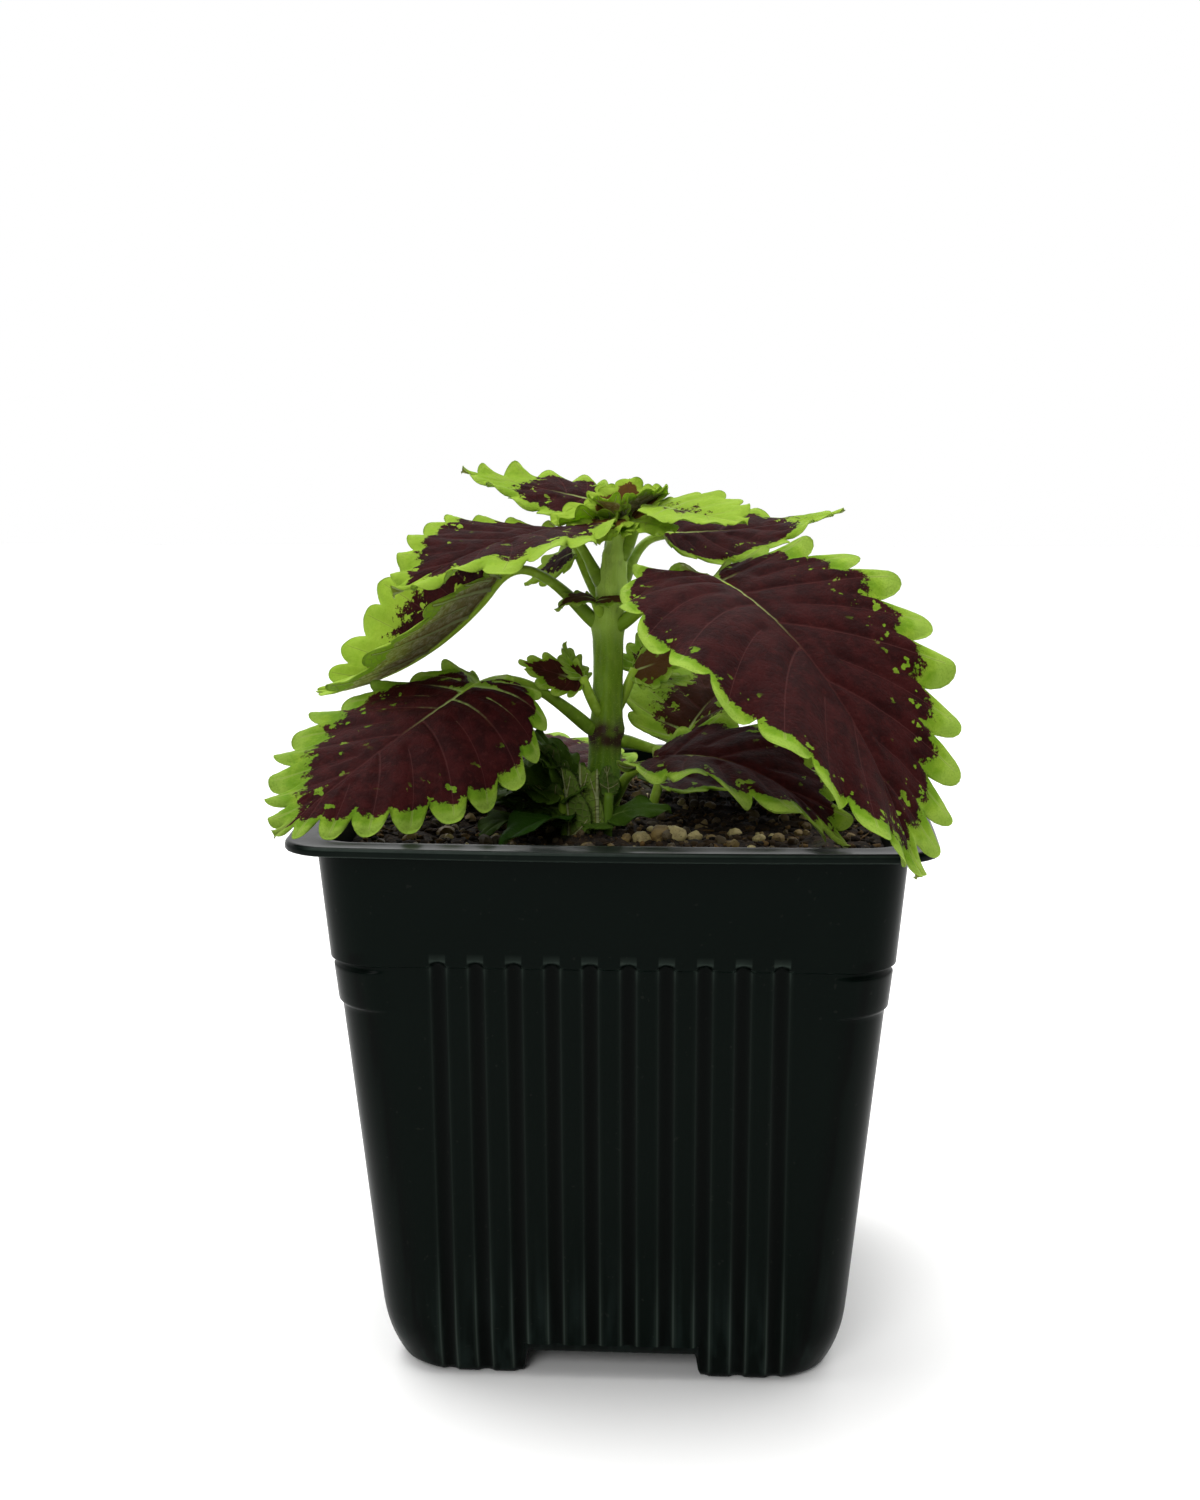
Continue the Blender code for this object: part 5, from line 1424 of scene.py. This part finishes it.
# For each shoot its foot (a height and a side of the main stem, or a place), its top, and its leaves.
SHOOTS = {
    "side_shoot_left": ((121.5, FRONT_LEFT), (-7.3, -7, 127.5), [
        small_leaf((-7.2, -6.9, 126.8), -80, 14, 22, 13.4, 0.36, SMALL, roll=-55, band=1.2, green=1,
                   brown=0.15),
        small_leaf((-7.2, -6.9, 127), -135, 40, 60, 9, 0.4, SMALL, band=4, shaded=0.2),
    ]),
    "side_shoot_right": ((121.5, BACK_RIGHT), (2.6, 0.8, 128.3), [
        small_leaf((2.4, 0.7, 127.8), 69, 22, 16, 13.2, 0.45, SMALL, roll=50, band=1.2, green=1, brown=1),
        small_leaf((2.2, 0.5, 127), 80, -2, -8, 13, 0.34, SMALL, turn=-4, roll=18, band=3),
        small_leaf((2.4, 0.7, 127.8), 159, 48, 38, 11, 0.42, SMALL, band=3),
    ]),
    "axil_shoot_left": ((141, FRONT_LEFT), (-5, -2.8, 142.2), [
        small_leaf((-4.8, -2.6, 142), -60, 30, -55, 9.5, 0.34, SMALL, turn=-14, roll=-20, band=0.7,
                   green=0.5, brown=0.7),
        small_leaf((-4.9, -3.2, 141.9), 66, 20, -30, 8.5, 0.36, SMALL, turn=14, roll=24, band=0.8,
                   green=0.5, brown=0.8, frill=0.6),
    ]),
    "axil_shoot_back": ((142, BACK_LEFT), (-9.5, 7.6, 151.6), [
        small_leaf((-9.3, 7.2, 151.2), -112, -22, -42, 14, 0.48, SMALL, roll=-34, band=2.6, green=3,
                   young=0.9),
    ]),
    "basal_shoot_left": ((-9.5, -12.5, 90.5), (-11, -14, 107), [
        small_leaf((-10.9, -13.9, 105.6), -84, 34, 20, 11, 0.46, SHADE, TINY, roll=-34),
        small_leaf((-10.4, -13.5, 101.5), -36, 8, -12, 10, 0.46, SHADE, TINY),
        small_leaf((-10.8, -13.8, 104.6), 60, 35, 20, 6.5, 0.42, SHADE, TINY, roll=20),
        small_leaf((-10.5, -13.6, 102.6), -96, 6, -6, 10, 0.44, SHADE, TINY, roll=-40),
        small_leaf((-10.9, -13.9, 105.6), -150, 36, 20, 9, 0.44, SHADE, TINY),
        small_leaf((-10.3, -13.4, 100.6), -24, 16, -20, 26, 0.17, TINY, band=40, shaded=1, frill=1.6,
                   fold=(14, 14)),
        *crinkled_leaves(
            61, 12, (-10.6, -12.0, 103.5), (1.2, 1.0, 3.6),
            headings=(-215, -48), lengths=(8, 12), rises=(0, 60), **SHADE),
        *crinkled_leaves(
            64, 9, (-10.4, -11.0, 106.5), (1.6, 1.2, 1.2),
            headings=(-170, -40), lengths=(8, 12), rises=(50, 85), **SHADE),
        *crinkled_leaves(
            67, 13, (-16.0, -9.5, 100.5), (3.6, 2.2, 3.8),
            headings=(-190, -30), lengths=(9, 13), rises=(5, 75), **SHADE),
        small_leaf((-7.6, -15.8, 92), -24, 100, 84, 20, 0.22, SHEATH, TINY, fold=(30, 44)),
        small_leaf((-3.6, -16.4, 92), 18, 102, 88, 19, 0.22, SHEATH, TINY, fold=(42, 28)),
        small_leaf((-9.8, -15.4, 92.5), -50, 98, 74, 19, 0.24, SHEATH, TINY, fold=(36, 36), shaded=0.66),
    ]),
    "basal_shoot_front": ((-2.6, -14.2, 90.5), (-1.8, -13.6, 106), [
        small_leaf((-1.8, -13.6, 105.3), -10, 76, 60, 7, 0.36, SHADE, TINY),
        small_leaf((-2.1, -13.8, 101), 84, 30, -16, 13, 0.34, TINY, roll=20, band=40, shaded=0.9,
                   frill=1.2),
        small_leaf((-2.2, -13.9, 100.2), -30, 4, -10, 8, 0.42, SHADE, TINY),
    ]),
    "basal_shoot_back": ((4, 1, 92), (8, 3, 107), [
        small_leaf((7.6, 2.8, 105.8), 114, 16, -18, 62, 0.36, turn=4, green=4),
        small_leaf((7.4, 2.7, 105), 170, 26, 0, 14, 0.42, SHADE, TINY),
    ]),
    "growing_tip": ((-1.0, 0.2, 154), (-0.6, 0, 159), [
        small_leaf((-1.2, 0.6, 157.2), -70, 14, -16, 12, 0.45, FRESH, fold=(26, 26)),
        small_leaf((-0.6, 0, 158.2), 92, 46, 4, 11, 0.48, TIP, fold=(24, 24)),
        small_leaf((-0.6, 0, 158), -40, 48, 6, 9, 0.5, TIP, fold=(14, 14)),
        small_leaf((-0.7, 0.1, 156.4), 8, 2, -26, 9, 0.48, FRESH, fold=(20, 20)),
        small_leaf((-0.7, 0.1, 157.2), -112, 14, -4, 9, 0.46, FRESH, fold=(10, 10)),
        small_leaf((0.6, 0.6, 157.6), 172, 66, 50, 9.5, 0.7, TIP, fold=(4, 4)),
        small_leaf((-1.4, 0.4, 157.6), -158, 58, 36, 9, 0.62, TIP, fold=(8, 8)),
        small_leaf((1.8, 0.2, 157.6), 136, 50, 20, 11, 0.52, TIP, fold=(14, 8)),
        small_leaf((-2.6, -1.4, 157.8), -52, 2, -62, 11, 0.56, TIP, fold=(4, 4), frill=1.6),
        small_leaf((-1.6, -1.8, 157.6), -20, 0, -60, 9, 0.6, TIP, fold=(4, 4), frill=1.6),
        small_leaf((0.6, -0.6, 158.6), 96, 40, 24, 9, 0.6, TIP, fold=(6, 6), roll=-24),
        small_leaf((-2.2, 0.2, 157.8), -84, 10, -14, 12, 0.48, FRESH, roll=-24, fold=(4, 10)),
        small_leaf((1.0, -0.8, 157.2), 58, 4, -20, 11.5, 0.48, FRESH, roll=20, fold=(10, 4)),
    ]),
}


def shoot_stem(foot, top, seed, shaded):
    """The shoot's short stem, from a height and a side of the main stem or from a place of its own."""
    if len(foot) == 2:
        middle, face = stem_at(foot[0])
        out = direction(foot[1])
        start = middle - np.array((0, 0, 3.4))
        controls = (start, middle + out * (face + 0.6) - np.array((0, 0, 1.2)), np.array(top, float))
        radius = 1.35
    else:
        start = np.array(foot, float)
        controls = (start, (start + np.array(top)) / 2, np.array(top, float))
        radius = 1.3 if foot[2] < BASAL_BELOW else 0.95
    share = np.linspace(0, 1, SHOOT_ROWS)
    path = [bezier(controls, s) for s in share]
    radii = radius * (1 - 0.3 * share)
    points, faces = stalk_mesh(path, radii, seed, up=(1, 0.3, 0), sides=14, channel=0.08)
    along = np.repeat(share, len(points) // SHOOT_ROWS)
    return points, faces, [STALK] * len(faces), stalk_values(len(points), along, shaded)


def grow_shoot(name, foot, top, blades, seed):
    """One shoot as one piece: its small leaves, coarser than the big ones, and its short stem."""
    parts = []
    for k, blade in enumerate(blades):  # k keeps the crinkle of every small leaf its own
        grid = COARSE_GRID if blade.length > 20 and blade.teeth > 4 else COARSEST_GRID
        parts.append(blade_mesh(blade, seed + k, **grid))
    parts.append(shoot_stem(foot, top, seed, min(b.shaded for b in blades)))
    points, faces, kinds, values = joined(parts)
    shoot = new_piece(name + "_grown", points, faces, LEAF_FINISHES, kinds, values, sharp=None)
    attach(shoot, "root")
    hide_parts(name)


for number, (name, (foot, top, blades)) in enumerate(SHOOTS.items()):
    grow_shoot(name, foot, top, blades, 20 + 10 * number)

# HAIRS
# Short, soft, pale hairs that grow out of the green skin of the main stem all the way up, each one
# a fine tapering spike that leans its own way.

STEM_HAIRS = 2600

hair_points, hair_faces, _, hair_values = hairs(stem_points, quads_of(stem_faces), STEM_HAIRS, 0.6, 3)
stem_hairs = new_piece(
    "stem_hairs", hair_points, hair_faces, [LEAF_FINISHES[STALK]], values=hair_values, sharp=None,
)
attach(stem_hairs, "root")
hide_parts("main_stem")

# ROOM
# A plain pale floor, and soft studio light from behind, from above and weakly from the front left.
# The camera stands where the photograph was taken, above the rim and looking slightly down.

FLOOR_HALF = 3000
CAMERA_PLACE = (0.01495, -0.3567, 0.1706)
CAMERA_TURN = (80.69, 0, 3.09)
CAMERA_LENS = 43.56


def pale_floor():
    """Matte off-white board with a faint unevenness."""
    material, tree, shader = own_material("pale_floor", 0.8, Specular_IOR_Level=0.1)
    cloud = grain(tree, place_in_object(tree), 6, 3)
    dress(tree, shader, blended(tree, cloud, (0.86, 0.86, 0.85), (0.92, 0.92, 0.915)))
    return material


floor_corners = [(x * FLOOR_HALF, y * FLOOR_HALF, 0) for x, y in ((-1, -1), (1, -1), (1, 1), (-1, 1))]
floor = new_piece("floor", floor_corners, [(0, 1, 2, 3)], [pale_floor()], sharp=None)


def soft_light(name, place, aim, size, power):
    """A round white softbox at a place, turned to what it lights."""
    lamp = bpy.data.lights.new(name, "AREA")
    lamp.shape = "DISK"
    lamp.size = size
    lamp.energy = power
    lit = bpy.data.objects.new(name, lamp)
    lit.location = place
    lit.rotation_euler = (Vector(aim) - Vector(place)).to_track_quat("-Z", "Y").to_euler()
    bpy.context.scene.collection.objects.link(lit)


soft_light("overhead_softbox", (-0.15, 0.1, 1.1), (0, 0, 0.12), 0.9, 10)
soft_light("front_softbox", (-0.3, -0.95, 0.62), (0, 0, 0.13), 0.6, 5)


def studio_world():
    """White behind and overhead, dim on the camera's side so that the black pot stays black."""
    world = bpy.data.worlds.new("studio")
    bpy.context.scene.world = world
    world.use_nodes = True
    tree = world.node_tree
    way = node(tree, "SeparateXYZ", node(tree, "TexCoord").outputs["Generated"])
    behind = sum_of(tree, way.outputs[1], (way.outputs[2], 0.55))
    level = rise(tree, behind, -0.35, 0.6, 0.12, 1.75)
    seen = node(tree, "LightPath").outputs["Is Camera Ray"]
    strength = node(tree, "Mix", data_type="FLOAT")
    feed(tree, strength.inputs[0], seen)
    feed(tree, strength.inputs[2], level)
    feed(tree, strength.inputs[3], 1.0)
    background = tree.nodes["Background"]
    background.inputs["Color"].default_value = (1, 1, 1, 1)
    tree.links.new(strength.outputs[0], background.inputs["Strength"])


studio_world()
bpy.context.scene.view_settings.view_transform = "Standard"

camera_data = bpy.data.cameras.new("camera")
camera_data.sensor_fit = "VERTICAL"
camera_data.sensor_height = 36
camera_data.lens = CAMERA_LENS
camera = bpy.data.objects.new("camera", camera_data)
camera.location = CAMERA_PLACE
camera.rotation_euler = [math.radians(turn) for turn in CAMERA_TURN]
bpy.context.scene.collection.objects.link(camera)
bpy.context.scene.camera = camera
